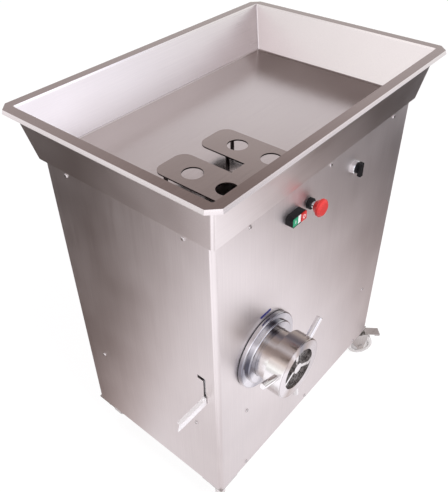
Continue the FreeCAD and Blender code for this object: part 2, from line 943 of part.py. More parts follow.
def make_feed_chute():
    """Tube from under the tray down to a saddle on the barrel."""
    high = bottom + s.tray_floor_z - s.tray_gauge
    tube = rod_up(throat_x, throat_y, head_z, high, s.throat_radius + s.chute_wall)
    saddle = rod_out(head_x, head_z, s.barrel_end, 0, s.chute_saddle)
    node("feed_chute", cut(tube, rod_up(throat_x, throat_y, head_z, high, s.throat_radius), saddle))


def rounded_plate(x0, x1, y0, y1, z0, z1, corner):
    """Flat plate with round corners."""
    pieces = [box(x0 + corner, x1 - corner, y0, y1, z0, z1), box(x0, x1, y0 + corner, y1 - corner, z0, z1)]
    for x in (x0 + corner, x1 - corner):
        for y in (y0 + corner, y1 - corner):
            pieces.append(rod_up(x, y, z0, z1, corner))
    return fuse(*pieces)


def make_finger_guard():
    """Plate over the throat on legs, with four holes and a slot from its back edge."""
    floor_z = bottom + s.tray_floor_z
    low = floor_z + s.guard_gap
    high = low + s.guard_gauge
    back_y, front_y = s.cabinet_y + s.guard_back_y, s.cabinet_y + s.guard_front_y
    notch_y = s.cabinet_y + s.guard_notch_end_y
    corner = s.guard_corner
    side = s.guard_width / 2
    notch = s.guard_notch_width / 2
    pieces = [rounded_plate(head_x - side, head_x + side, front_y, notch_y, low, high, corner)]
    pieces.append(rounded_plate(head_x - side, head_x - notch, front_y, back_y, low, high, corner))
    pieces.append(rounded_plate(head_x + notch, head_x + side, front_y, back_y, low, high, corner))
    pieces.append(box(head_x - side + corner, head_x + side - corner, front_y, notch_y, low, high))
    holes = []
    for turn in (-1, 1):
        for hole_y in (s.guard_hole_back_y, s.guard_hole_front_y):
            holes.append(rod_up(head_x + s.guard_hole_x * turn, s.cabinet_y + hole_y,
                                low - s.guard_gauge, high + s.guard_gauge, s.guard_hole_radius))
    plate = cut(fuse(*pieces), *holes)
    legs = []
    for turn in (-1, 1):
        for leg_x, leg_y in ((s.guard_leg_x, s.guard_leg_back_y), (s.guard_leg_x, s.guard_leg_front_y),
                             (s.guard_inner_leg_x, s.guard_inner_leg_y)):
            legs.append(rod_up(head_x + leg_x * turn, s.cabinet_y + leg_y, floor_z, low, s.guard_leg_radius))
    node("finger_guard", fuse(plate, *legs))


# Mincing head


def make_head_trim():
    bore = s.neck_radius + s.neck_clearance
    node("head_seal", at_front(turned(ring_profile(bore, s.seal_radius, 0, s.seal_out)), head_x, head_z))
    profile = [
        (bore, s.seal_out),
        (s.flange_radius, s.seal_out),
        (s.flange_radius, s.flange_out),
        (s.collar_radius, s.flange_out),
        (s.collar_radius, s.collar_out),
        (bore, s.collar_out),
    ]
    rounds = [
        (s.flange_radius, s.flange_out, s.flange_round),
        (s.collar_radius, s.collar_out, s.collar_round),
    ]
    node("head_flange", at_front(turned(profile, rounds), head_x, head_z))


def lock_groove():
    return rod_up(bolt_x, lock_y, bottom + s.bolt_groove_low_z, bottom + s.bolt_groove_high_z,
                  s.bolt_groove_radius)


def key_rod(radius):
    return rod_out(head_x, head_z + s.seat_radius, s.key_in, s.key_out, radius)


def make_grinder_barrel():
    wall_out = s.barrel_end + s.barrel_end_wall
    profile = [
        (s.barrel_end_hole, s.barrel_end),
        (s.neck_radius, s.barrel_end),
        (s.neck_radius, s.spigot_in),
        (s.spigot_radius, s.spigot_in),
        (s.spigot_radius, s.spigot_out),
        (s.seat_radius, s.spigot_out),
        (s.seat_radius, s.seat_in),
        (s.bore_radius, s.seat_in),
        (s.bore_radius, wall_out),
        (s.barrel_end_hole, wall_out),
    ]
    tube = at_front(turned(profile), head_x, head_z)
    inlet = rod_up(throat_x, throat_y, head_z, head_z + s.nut_radius, s.throat_radius)
    key_slot = key_rod(s.key_radius + s.key_clearance)
    node("grinder_barrel", cut(tube, inlet, lock_groove(), key_slot))
    node("plate_key", key_rod(s.key_radius))


def make_feed_worm():
    body = new_body()
    revolve(body, [
        (0, s.worm_in),
        (s.worm_journal, s.worm_in),
        (s.worm_journal, s.worm_journal_out),
        (s.worm_core_back, s.worm_core_back_out),
        (s.worm_core_front, s.worm_core_out),
        (s.worm_pin_radius, s.worm_core_out),
        (s.worm_pin_radius, s.worm_pin_out),
        (0, s.worm_pin_out),
    ])
    pad(body, s.knife_out - s.worm_core_out, s.worm_core_out, points=square_points(s.worm_square))
    sketch = sketch_on(body, "XZ_Plane")
    root, tip = s.flight_root_width / 2, s.flight_tip_width / 2
    draw_outline(sketch, [
        (s.worm_core_back - 2, s.flight_start - root),
        (s.flight_radius, s.flight_start - tip),
        (s.flight_radius, s.flight_start + tip),
        (s.worm_core_back - 2, s.flight_start + root),
    ])
    doc.recompute()
    flight = body.newObject("PartDesign::AdditiveHelix", "Flight")
    flight.Profile = sketch
    flight.ReferenceAxis = (sketch, ["V_Axis"])
    flight.Mode = 0
    bind(flight, Pitch=s.flight_pitch, Height=s.flight_length)
    pocket(body, s.worm_socket_depth, s.worm_in, points=square_points(s.worm_socket))
    node("feed_worm", at_front(body, head_x, head_z))


def make_cutter_knife():
    body = new_body()
    pad(body, s.knife_out - s.knife_in, s.knife_in, circle=(0, 0, s.knife_hub_radius))
    root, tip, reach = s.knife_blade_root / 2, s.knife_blade_tip / 2, s.knife_reach
    outline = [(0, -root), (reach, -tip), (reach, tip), (0, root)]
    blade = pad(body, s.knife_out - s.knife_in, s.knife_in, points=outline)
    polar(body, blade, s.knife_blades)
    pocket(body, s.knife_out - s.knife_in, s.knife_in, points=square_points(s.knife_square))
    node("cutter_knife", at_front(body, head_x, head_z))


def make_mincing_plate():
    body = new_body()
    thickness = s.plate_out - s.plate_in
    revolve(body, ring_profile(s.plate_bore_radius, s.cutter_radius, s.plate_in, s.plate_out))
    for ring in range(int(s.plate_rings.value)):
        radius = s.plate_ring_first + s.plate_ring_step * ring
        hole = pocket(body, thickness, s.plate_in, circle=(radius, 0, s.plate_hole_radius))
        polar(body, hole, s.plate_ring_holes + s.plate_ring_more * ring)
    at_front(body, head_x, head_z)
    node("mincing_plate", cut(body, key_rod(s.key_radius + s.key_clearance)))


def make_plate_support():
    """Ring with three spokes and a hub that steadies the front of the worm."""
    depth = s.support_out - s.support_in
    rim = cut(rod(s.cutter_radius, depth), rod(s.support_rim_radius, depth))
    half = s.support_spoke / 2
    spokes = []
    for step in range(int(s.support_spokes.value)):
        spoke = group(box(0, s.support_rim_radius + 1, -half, half, 0, depth))
        spoke.Placement = Placement(Vector(), Rotation(UP, 90 + 360 * step / s.support_spokes.value))
        spokes.append(spoke)
    hub = rod(s.support_hub_radius, s.support_hub_front - s.support_in)
    frame = cut(fuse(rim, hub, *spokes), rod(s.plate_bore_radius, s.worm_pin_out + 1 - s.support_in))
    node("plate_support", place(frame, head_x, front - s.support_in, head_z, OUT_OF_FRONT))


def at_handle(obj, step):
    """Put an object on a nut handle's line, with local +Z pointing away from the head's axis."""
    angle = s.handle_first_angle.value + 360 * step / s.handle_count.value
    aim = Rotation(Vector(0, -1, 0), angle).multiply(Rotation(Vector(0, 1, 0), 90))
    return place(obj, head_x, front - s.handle_out, head_z, aim)


def make_ring_nut():
    low = s.nut_in
    profile = [
        (s.nut_thread_radius, low),
        (s.nut_radius, low),
        (s.nut_radius, s.nut_out),
        (s.outlet_radius, s.nut_out),
        (s.outlet_radius, s.nut_lip_in),
        (s.nut_thread_radius, s.nut_lip_in),
    ]
    rounds = [(s.nut_radius, s.nut_out, s.nut_round)]
    count = int(s.handle_count.value)
    sockets = []
    for number in range(count):
        drill = rod(s.handle_radius + s.shaft_fit, s.handle_tip - s.handle_root)
        drill.Placement = Placement(Vector(0, 0, s.handle_root.value), UPRIGHT)
        sockets.append(at_handle(group(drill), number))
    node("ring_nut", cut(at_front(turned(profile, rounds), head_x, head_z), *sockets))
    bar = [
        (0, s.handle_root),
        (s.handle_radius, s.handle_root),
        (s.handle_radius, s.handle_tip),
        (0, s.handle_tip),
    ]
    rounds = [(s.handle_radius, s.handle_tip, s.handle_round)]
    node("nut_handles", group(*[at_handle(turned(bar, rounds), number) for number in range(count)]))


# Head lock


def make_lock():
    """Lever outside the left panel, its strap and arm inside, and the bolt that the arm lifts."""
    low = bottom + s.lever_low_z
    tab_top = low + s.lever_tab_height
    half = s.lever_width / 2
    plate_outer = left - s.lever_stand_off - s.lever_gauge
    strap_x = left + s.panel_gauge + s.lever_strap_gap
    strap_end = strap_x + s.lever_strap_gauge
    arm_z = bottom + s.lever_arm_low_z
    arm_top = arm_z + s.lever_arm_height
    strap_half = s.lever_strap_width / 2
    tab_half = s.lever_tab_width / 2
    tip_x = s.cabinet_x + s.lever_tip
    ridge_x = tip_x + s.lever_slant
    flange = new_body()
    outline = [(tip_x, low), (plate_outer, low), (plate_outer, tab_top), (ridge_x, tab_top)]
    pad(flange, s.lever_gauge, points=outline)
    place(flange, 0, lock_y - half + s.lever_gauge, 0, OUT_OF_FRONT)
    node("lock_lever", fuse(
        flange,
        box(ridge_x, plate_outer, lock_y - half, lock_y + half, tab_top - s.lever_gauge, tab_top),
        box(plate_outer, left - s.lever_stand_off, lock_y - half, lock_y + half, low,
            bottom + s.lever_plate_top_z),
        box(plate_outer, strap_end, lock_y - tab_half, lock_y + tab_half, low, tab_top),
        box(strap_x, strap_end, lock_y - strap_half, lock_y + strap_half, low, arm_top),
        box(strap_x, bolt_x + s.bolt_radius, lock_y - s.bolt_radius, lock_y + s.bolt_radius, arm_z, arm_top),
    ))
    node("lock_bolt", rod_up(bolt_x, lock_y, bottom + s.bolt_low_z, arm_z, s.bolt_radius))


def make_lock_guide():
    """Bracket on the back of the front panel with two lugs round the bolt."""
    wall_y = front + s.panel_gauge
    reach_y = lock_y + s.guide_reach
    low, high = bottom + s.guide_low_z, bottom + s.guide_high_z
    side = (bolt_x - s.guide_half_width, bolt_x + s.guide_half_width)
    gauge = s.guide_gauge
    bracket = fuse(
        box(*side, wall_y, wall_y + gauge, low, high),
        box(*side, wall_y, reach_y, low, low + gauge),
        box(*side, wall_y, reach_y, high - gauge, high),
    )
    node("lock_guide", cut(bracket, rod_up(bolt_x, lock_y, low - gauge, high + gauge, s.guide_hole_radius)))


# Gearbox


def gear_shape(teeth, bore, low, high):
    """Straight-toothed gear about Z with involute flanks and a tooth on +X."""
    teeth = int(teeth.value)
    module = s.gear_module.value
    pitch = module * teeth / 2
    base = pitch * math.cos(math.radians(s.pressure_angle.value))
    tip, root = pitch + module, pitch - 1.25 * module
    involute = lambda radius: math.tan(math.acos(base / radius)) - math.acos(base / radius)
    half_tooth = (math.pi * module / 2 - s.gear_backlash.value / 2) / (2 * pitch)
    flank_start = max(root, base)
    flank_steps = 4
    flank = []
    for step in range(flank_steps + 1):
        radius = flank_start + (tip - flank_start) * step / flank_steps
        flank.append((radius, half_tooth + involute(pitch) - involute(radius)))
    side = [(root, flank[0][1])] + flank if root < flank_start else flank
    points = []
    for tooth in range(teeth):
        middle = 2 * math.pi * tooth / teeth
        ring = [(radius, middle - angle) for radius, angle in side]
        ring += [(radius, middle + angle) for radius, angle in reversed(side)]
        points += [Vector(radius * math.cos(angle), radius * math.sin(angle), low.value)
                   for radius, angle in ring]
    blank = Part.Face(Part.makePolygon(points + points[:1]))
    height = high.value - low.value
    solid = blank.extrude(Vector(0, 0, height))
    return solid.cut(Part.makeCylinder(bore.value, height, Vector(0, 0, low.value)))


def make_gears():
    gear = gear_shape(s.gear_teeth, s.shaft_radius + s.shaft_fit, s.gear_in, s.gear_out)
    for low, high in ((s.gear_in, s.gear_web_in), (s.gear_web_out, s.gear_out)):
        depth, start = high.value - low.value, Vector(0, 0, low.value)
        hollow = Part.makeCylinder(s.gear_web_rim.value, depth, start)
        gear = gear.cut(hollow.cut(Part.makeCylinder(s.gear_web_hub.value, depth, start)))
    node("output_gear", at_front(solid_feature(gear), head_x, head_z))
    pinion = gear_shape(s.pinion_teeth, s.motor_shaft_radius + s.shaft_fit, s.gear_in, s.gear_out)
    half_tooth_turn = Rotation(UP, 180 / s.pinion_teeth.value)
    node("drive_pinion", at_front(solid_feature(pinion), motor_x, head_z, half_tooth_turn))


def make_output_shaft():
    body = new_body()
    pad(body, s.shaft_shoulder_out - s.shaft_in, s.shaft_in, circle=(0, 0, s.shaft_radius))
    pad(body, s.shaft_tenon_out - s.shaft_shoulder_out, s.shaft_shoulder_out,
        points=square_points(s.shaft_tenon))
    node("output_shaft", at_front(body, head_x, head_z))


def gear_case(radius, pinion_radius, low, high):
    """Round case about the output shaft joined to a smaller one about the motor's shaft."""
    return fuse(
        rod_out(head_x, head_z, low, high, radius),
        rod_out(motor_x, head_z, low, high, pinion_radius),
        box(head_x, motor_x, front - low, front - high, head_z - pinion_radius, head_z + pinion_radius),
    )


def make_gearbox():
    inner = s.barrel_end - s.housing_front_wall
    foot = box(head_x - s.housing_foot_half, head_x + s.housing_foot_half, front - s.housing_in,
               front - s.barrel_end, bearer_top, bearer_top + s.housing_foot_top)
    case = fuse(gear_case(s.housing_radius, s.housing_pinion_radius, s.housing_in, s.barrel_end), foot)
    cavity = gear_case(s.housing_cavity, s.housing_pinion_cavity, s.housing_in, inner)
    boss = rod_out(head_x, head_z, s.bearing_front_in, inner, s.boss_radius)
    socket = rod_out(head_x, head_z, s.barrel_end, s.barrel_end + s.socket_depth, s.socket_radius)
    node("gearbox_housing", cut(
        fuse(cut(case, cavity), boss, socket),
        rod_out(head_x, head_z, s.barrel_end, s.barrel_end + s.socket_depth, s.neck_radius + s.shaft_fit),
        rod_out(head_x, head_z, s.bearing_front_in, s.bearing_front_out, s.bearing_radius),
        rod_out(head_x, head_z, s.oil_seal_in, s.barrel_end, s.oil_seal_radius),
        rod_out(head_x, head_z, s.bearing_front_out, s.oil_seal_in, s.barrel_end_hole),
    ))

    plate = gear_case(s.housing_radius, s.housing_pinion_radius, s.cover_in, s.housing_in)
    boss = rod_out(head_x, head_z, s.housing_in, s.cover_boss_out, s.boss_radius)
    node("gearbox_cover", cut(
        fuse(plate, boss, rod_out(motor_x, head_z, s.cover_in, s.housing_in, s.motor_flange_radius)),
        rod_out(head_x, head_z, s.bearing_rear_in, s.cover_boss_out, s.bearing_radius),
        rod_out(motor_x, head_z, s.cover_in, s.housing_in, s.housing_pinion_cavity),
        *flange_holes(),
    ))


def at_flange_bolt(obj, step):
    """Put an object on the back of the motor's flange, with its local +Z pointing backwards."""
    angle = s.motor_bolt_first_angle + 90 * step
    x = motor_x + s.motor_bolt_circle * cosine(angle)
    z = head_z + s.motor_bolt_circle * sine(angle)
    return place(obj, x, front - s.motor_flange_in, z, Rotation(ACROSS, -90))


def flange_holes():
    """Clearance holes for the bolts that hold the motor's flange to the gearbox cover."""
    holes = []
    for step in range(4):
        drill = rod(s.drive_bolt_radius + s.key_clearance, s.drive_bolt_length * 2)
        drill.Placement = Placement(Vector(0, 0, -s.drive_bolt_length.value), UPRIGHT)
        holes.append(at_flange_bolt(group(drill), step))
    return holes


def ring_out(x, inner, outer, low, high):
    return at_front(turned(ring_profile(inner, outer, low, high)), x, head_z)


def make_bearings():
    shaft = s.shaft_radius + s.shaft_fit
    motor_shaft = s.motor_shaft_radius + s.shaft_fit
    node("shaft_bearings", group(
        ring_out(head_x, shaft, s.bearing_radius, s.bearing_front_in, s.bearing_front_out),
        ring_out(head_x, shaft, s.bearing_radius, s.bearing_rear_in, s.bearing_rear_out),
        ring_out(motor_x, motor_shaft, s.motor_bearing_radius, s.motor_cavity_out, s.motor_flange_in),
        ring_out(motor_x, motor_shaft, s.motor_bearing_rear_radius, s.motor_bearing_rear_in,
                 s.motor_cavity_in),
    ))
    node("shaft_seal", ring_out(head_x, shaft, s.oil_seal_radius, s.oil_seal_in, s.barrel_end))


def drive_bolt():
    """Cap screw with its head on local z = 0 and its shank below."""
    return turned([
        (0, -s.drive_bolt_length),
        (s.drive_bolt_radius, -s.drive_bolt_length),
        (s.drive_bolt_radius, 0),
        (s.drive_bolt_head, 0),
        (s.drive_bolt_head, s.drive_bolt_head_height),
        (0, s.drive_bolt_head_height),
    ])


def make_drive_bolts():
    node("drive_bolts", group(*[at_flange_bolt(drive_bolt(), step) for step in range(4)]))


# Motor


def make_motor_housing():
    body = new_body()
    profile = [
        (s.motor_shaft_hole, s.cover_in),
        (s.motor_flange_radius, s.cover_in),
        (s.motor_flange_radius, s.motor_flange_in),
        (s.motor_radius, s.motor_flange_in),
        (s.motor_radius, s.motor_shoulder_out),
        (s.motor_shoulder_radius, s.motor_shoulder_out),
        (s.motor_shoulder_radius, s.motor_shoulder_in),
        (s.motor_radius, s.motor_shoulder_in),
        (s.motor_radius, s.motor_end),
        (s.motor_shaft_hole, s.motor_end),
        (s.motor_shaft_hole, s.motor_bearing_rear_in),
        (s.motor_bearing_rear_radius, s.motor_bearing_rear_in),
        (s.motor_bearing_rear_radius, s.motor_cavity_in),
        (s.motor_cavity_radius, s.motor_cavity_in),
        (s.motor_cavity_radius, s.motor_cavity_out),
        (s.motor_bearing_radius, s.motor_cavity_out),
        (s.motor_bearing_radius, s.motor_flange_in),
        (s.motor_shaft_hole, s.motor_flange_in),
    ]
    revolve(body, profile)
    half = s.motor_fin_gauge / 2
    root = s.motor_radius - s.motor_fin_gauge
    outline = [(-half, root), (half, root), (half, s.motor_fin_reach), (-half, s.motor_fin_reach)]
    fin = pad(body, s.motor_fin_out - s.motor_fin_in, s.motor_fin_in, points=outline)
    polar(body, fin, s.motor_fins)
    node("motor_housing", cut(at_front(body, motor_x, head_z), *flange_holes()))


def make_motor_inside():
    node("motor_stator", ring_out(motor_x, s.stator_radius, s.motor_cavity_radius, s.stator_in, s.stator_out))
    radius, core = s.motor_shaft_radius, s.rotor_radius
    profile = [
        (0, s.motor_shaft_in), (radius, s.motor_shaft_in), (radius, s.stator_in), (core, s.stator_in),
        (core, s.stator_out), (radius, s.stator_out), (radius, s.motor_shaft_out), (0, s.motor_shaft_out),
    ]
    node("motor_rotor", at_front(turned(profile), motor_x, head_z))


def make_motor_fan():
    body = new_body()
    depth = s.fan_out - s.fan_in
    bore = s.motor_shaft_radius + s.shaft_fit
    revolve(body, [
        (bore, s.fan_in), (s.fan_hub_radius, s.fan_in), (s.fan_hub_radius, s.fan_out - s.fan_back_gauge),
        (s.fan_reach, s.fan_out - s.fan_back_gauge), (s.fan_reach, s.fan_out), (bore, s.fan_out),
    ])
    half, start = s.fan_blade_gauge / 2, s.fan_hub_radius - s.fan_blade_gauge
    outline = [(-half, start), (half, start), (half, s.fan_reach), (-half, s.fan_reach)]
    blade = pad(body, depth, s.fan_in, points=outline)
    polar(body, blade, s.fan_blades)
    node("motor_fan", at_front(body, motor_x, head_z))


def make_fan_cowl():
    body = new_body()
    outer, gauge = s.motor_shoulder_radius, s.cowl_gauge
    revolve(body, [
        (0, s.cowl_in), (outer, s.cowl_in),
        (outer, s.motor_shoulder_in), (outer - gauge, s.motor_shoulder_in),
        (outer - gauge, s.cowl_in + gauge), (0, s.cowl_in + gauge),
    ])
    half = s.cowl_slot_width / 2
    outline = [(-half, s.cowl_slot_inner), (half, s.cowl_slot_inner), (half, s.cowl_slot_outer),
               (-half, s.cowl_slot_outer)]
    slot = pocket(body, gauge, s.cowl_in, points=outline)
    polar(body, slot, s.cowl_slots)
    node("fan_cowl", at_front(body, motor_x, head_z))


def make_terminal_box():
    low = head_z + s.motor_fin_reach
    lid_z = low + s.terminal_height
    half, lid = s.terminal_half_width, s.terminal_lid
    near, far = front - s.terminal_out, front - s.terminal_in
    node("terminal_box", fuse(
        box(motor_x - half, motor_x + half, near, far, low, lid_z),
        box(motor_x - half - lid, motor_x + half + lid, near - lid, far + lid, lid_z, lid_z + lid),
    ))


# Controls


def switch_body(x, head_profile):
    """Front part of a switch with its stem through the panel and contact block behind."""
    z = bottom + s.control_z
    stem = rod_out(x, z, s.switch_stem_in, 0, s.switch_stem)
    block = box(x - s.block_half_width, x + s.block_half_width, front - s.switch_stem_in, front - s.block_in,
                z - s.block_half_height, z + s.block_half_height)
    return fuse(at_front(head_profile, x, z), stem, block)


def make_double_button():
    x, z = s.cabinet_x + s.double_x, bottom + s.control_z
    wide, tall, clip = s.double_width / 2, s.double_height / 2, s.double_corner
    outline = [
        (-wide + clip, -tall), (wide - clip, -tall), (wide, -tall + clip), (wide, tall - clip),
        (wide - clip, tall), (-wide + clip, tall), (-wide, tall - clip), (-wide, -tall + clip),
    ]
    head = new_body()
    pad(head, s.double_out, points=outline)
    well_x, well_z = wide - s.double_wall, tall - s.double_wall
    well = box(x - well_x, x + well_x, front - s.double_well_in, front - s.double_out, z - well_z, z + well_z)
    node("start_stop_housing", cut(switch_body(x, head), well))
    gap, lens = s.double_gap, s.double_lens_width / 2
    high, low = z + well_z - gap, z - well_z + gap
    back_y = front - s.button_in
    start = (x - well_x + gap, x - lens - gap)
    stop = (x + lens + gap, x + well_x - gap)
    node("start_button", box(*start, back_y, front - s.start_out, low, high))
    node("stop_button", box(*stop, back_y, front - s.stop_out, low, high))
    node("pilot_lens", box(x - lens, x + lens, front - s.double_well_in, front - s.lens_out, low, high))


def make_estop():
    x, z = s.cabinet_x + s.estop_x, bottom + s.control_z
    step = s.edge_break
    radius, high = s.estop_collar_radius, s.estop_collar_out
    head = turned([(0, 0), (radius, 0), (radius, high - step), (radius - step, high), (0, high)])
    bore = rod_out(x, z, s.estop_bore_in, high, s.plunger_bore)
    node("estop_collar", cut(switch_body(x, head), bore))
    node("estop_plunger", rod_out(x, z, s.plunger_in, s.plunger_out, s.plunger_radius))
    clear = s.plunger_out + s.double_gap
    profile = [
        (s.plunger_bore, s.cap_in),
        (s.cap_neck_radius, s.cap_in),
        (s.cap_radius, s.cap_flare_out),
        (s.cap_radius, s.cap_rim_out),
        (s.cap_crown_radius, s.cap_out),
        (0, s.cap_out),
        (0, clear),
        (s.plunger_bore, clear),
    ]
    rounds = [
        (s.cap_radius, s.cap_rim_out, s.cap_round),
        (s.cap_radius, s.cap_flare_out, s.cap_round / 2),
        (s.cap_crown_radius, s.cap_out, s.cap_round),
    ]
    node("estop_cap", at_front(turned(profile, rounds), x, z))


def make_selector():
    x, z = s.cabinet_x + s.selector_x, bottom + s.control_z
    step = s.edge_break
    radius, high = s.bezel_radius, s.bezel_out
    head = turned([(0, 0), (radius, 0), (radius, high - step), (radius - step, high), (0, high)])
    bore = rod_out(x, z, s.estop_bore_in, high, s.plunger_bore)
    node("selector_bezel", cut(switch_body(x, head), bore))
    half = s.knob_half_width
    node("selector_knob", fuse(
        rod_out(x, z, s.knob_in, s.knob_disc_in, s.plunger_radius),
        rod_out(x, z, s.knob_disc_in, s.knob_disc_out, s.knob_disc_radius),
        box(x - half, x + half, front - s.knob_disc_out, front - s.knob_out, z - s.knob_down, z + s.knob_up),
    ))


def make_control_box():
    wall_x = right - s.panel_gauge
    low, high = bottom + s.control_box_low_z, bottom + s.control_box_high_z
    near, far = s.cabinet_y - s.control_box_half, s.cabinet_y + s.control_box_half
    wall = s.control_box_wall
    shell = box(wall_x - s.control_box_reach, wall_x, near, far, low, high)
    hollow = box(wall_x - s.control_box_reach + wall, wall_x - wall, near + wall, far - wall,
                 low + wall, high - wall)
    node("control_box", cut(shell, hollow))


def make_cable_gland():
    profile = [
        (s.gland_bore, s.gland_in), (s.gland_thread_radius, s.gland_in), (s.gland_thread_radius, 0),
        (s.gland_nut_radius, 0), (s.gland_nut_radius, s.gland_nut_out), (s.gland_cap_radius, s.gland_nut_out),
        (s.gland_cap_radius, s.gland_out - s.edge_break), (s.gland_cap_radius - s.edge_break, s.gland_out),
        (s.gland_bore, s.gland_out),
    ]
    spot = (s.cabinet_x + s.gland_x, back, bottom + s.gland_z)
    node("cable_gland", place(turned(profile), *spot, Rotation(ACROSS, -90)))


# Casters


def caster_spots():
    """Name, place, heading and brake of each caster."""
    reach_x = s.cabinet_width / 2 - s.caster_inset
    reach_y = s.cabinet_depth / 2 - s.caster_inset
    return [
        ("front_left", s.cabinet_x - reach_x, s.cabinet_y - reach_y, s.heading_front_left, True),
        ("front_right", s.cabinet_x + reach_x, s.cabinet_y - reach_y, s.heading_front_right, True),
        ("rear_left", s.cabinet_x - reach_x, s.cabinet_y + reach_y, s.heading_rear_left, False),
        ("rear_right", s.cabinet_x + reach_x, s.cabinet_y + reach_y, s.heading_rear_right, False),
    ]


def make_caster_plates():
    plates = []
    half = s.caster_plate / 2
    low = bottom - s.caster_plate_gauge
    for name, x, y, turn, braked in caster_spots():
        plates.append(fuse(
            box(x - half, x + half, y - half, y + half, low, bottom),
            rod_up(x, y, s.race_low_z, low, s.race_radius),
            rod_up(x, y, s.kingpin_head_high_z, low, s.kingpin_radius),
            rod_up(x, y, s.kingpin_head_low_z, s.kingpin_head_high_z, s.kingpin_head_radius),
        ))
    node("caster_plates", group(*plates))


def fork_side():
    """Side view of a fork leg: x along the trail, y up."""
    crown, low = s.crown_high_z, s.wheel_radius - s.wheel_hub_radius
    return [
        (-s.axle_head_radius, s.crown_low_z), (s.axle_head_radius, s.wheel_radius + s.wheel_hub_radius),
        (s.caster_trail - s.axle_head_radius, low), (s.caster_trail + s.axle_head_radius, low),
        (s.pedal_pivot_x, s.wheel_radius + s.wheel_hub_radius), (s.pedal_pivot_x + s.axle_head_radius, crown),
        (-s.axle_head_radius, crown),
    ]


def make_fork(braked):
    """Fork about its swivel axis at the floor, trailing along +X."""
    inner, outer = s.fork_inner, s.fork_outer
    legs = []
    for y in (outer, -inner):
        leg = new_body()
        pad(leg, outer - inner, points=fork_side())
        legs.append(place(leg, 0, y, 0, OUT_OF_FRONT))
    crown = fuse(
        rod_up(as_dim(0), as_dim(0), s.crown_low_z, s.crown_high_z, s.crown_radius),
        box(0, s.crown_front, -outer, outer, s.crown_low_z, s.crown_high_z),
    )
    reach = s.axle_reach
    axle = place(rod(s.axle_radius, reach * 2), s.caster_trail, reach, s.wheel_radius, OUT_OF_FRONT)
    pieces = [*legs, crown, axle]
    for head_y in (reach, -outer):
        head = rod(s.axle_head_radius, reach - outer)
        pieces.append(place(head, s.caster_trail, head_y, s.wheel_radius, OUT_OF_FRONT))
    if braked:
        pin = rod(s.pedal_pin_radius, outer * 2)
        pieces.append(place(pin, s.pedal_pivot_x, outer, s.pedal_pivot_z, OUT_OF_FRONT))
    hole = rod_up(as_dim(0), as_dim(0), s.crown_low_z, s.crown_high_z, s.crown_hole)
    return cut(fuse(*pieces), hole)


def make_pedal():
    """Brake pedal about its pivot, reaching along +X."""
    half, gauge = s.pedal_half_width, s.pedal_gauge
    barrel = place(rod(s.pedal_barrel_radius, half * 2), 0, half, 0, OUT_OF_FRONT)
    toe_x = s.pedal_length - s.pedal_toe
    plate = fuse(
        box(0, s.pedal_length, -half, half, s.pedal_barrel_radius - gauge, s.pedal_barrel_radius),
        box(toe_x, s.pedal_length, -half, half, -gauge / 2, s.pedal_barrel_radius),
    )
    pin = place(rod(s.pedal_pin_radius + s.axle_fit, half * 2), 0, half, 0, OUT_OF_FRONT)
    return cut(fuse(barrel, plate), pin)


def wheel_profile():
    """Half section of the wheel: radius against distance along its axle."""
    bore, hub, hub_half = s.axle_radius + s.axle_fit, s.wheel_hub_radius, s.wheel_hub_half
    web, rim, half = s.wheel_web_half, s.wheel_rim_radius, s.wheel_half_width
    side = [(bore, hub_half), (hub, hub_half), (hub, web), (rim, web), (rim, half), (s.wheel_radius, half)]
    return side + [(radius, -offset) for radius, offset in reversed(side)]


def make_casters():
    for name, x, y, turn, braked in caster_spots():
        heading = Rotation(UP, turn.value)
        ahead_x, ahead_y = cosine(turn), sine(turn)
        node(f"caster_fork_{name}", place(make_fork(braked), x, y, 0, heading))
        hub = (x + s.caster_trail * ahead_x, y + s.caster_trail * ahead_y, s.wheel_radius)
        edges = [(s.wheel_radius, s.wheel_half_width * side, s.wheel_edge) for side in (-1, 1)]
        wheel = turned(wheel_profile(), edges)
        node(f"caster_wheel_{name}", place(wheel, *hub, heading.multiply(OUT_OF_FRONT)))
        if braked:
            pivot = (x + s.pedal_pivot_x * ahead_x, y + s.pedal_pivot_x * ahead_y, s.pedal_pivot_z)
            tilt = Rotation(Vector(0, 1, 0), s.pedal_slope.value)
            node(f"caster_brake_{name}", place(make_pedal(), *pivot, heading.multiply(tilt)))


doc = FreeCAD.newDocument("MeatGrinder")
s = make_sheet()

# Cabinet faces, frame faces and main axes in the row frame
left = s.cabinet_x - s.cabinet_width / 2
right = s.cabinet_x + s.cabinet_width / 2
front = s.cabinet_y - s.cabinet_depth / 2
back = s.cabinet_y + s.cabinet_depth / 2
bottom = s.cabinet_lift
top = bottom + s.cabinet_height
post_inset = s.panel_gauge * 2 + s.panel_fit * 2
post_left, post_right = left + post_inset, right - post_inset
post_front, post_back = front + s.panel_gauge + s.panel_fit, back - s.panel_gauge - s.panel_fit
bearer_top = bottom + s.rail_middle_z + s.angle_leg + s.cross_height
head_x, head_z = s.cabinet_x + s.head_x, bottom + s.head_z
throat_x, throat_y = s.cabinet_x + s.throat_x, s.cabinet_y + s.throat_y
lock_y = s.cabinet_y + s.lock_y
bolt_x = s.cabinet_x + s.bolt_x
motor_x = head_x + s.gear_module * (s.gear_teeth + s.pinion_teeth) / 2

make_front_panel()
make_rear_panel()
make_side_panels()
make_panel_screws()
make_base_frame()
make_base_plate()
make_feed_tray()
make_tray_skirt()
make_feed_chute()
make_finger_guard()
make_head_trim()
make_grinder_barrel()
make_feed_worm()
make_cutter_knife()
make_mincing_plate()
make_plate_support()
make_ring_nut()
make_lock()
make_lock_guide()
make_gears()
make_output_shaft()
make_gearbox()
make_bearings()
make_drive_bolts()
make_motor_housing()
make_motor_inside()
make_motor_fan()
make_fan_cowl()
make_terminal_box()
make_double_button()
make_estop()
make_selector()
make_control_box()
make_cable_gland()
make_caster_plates()
make_casters()
doc.recompute()

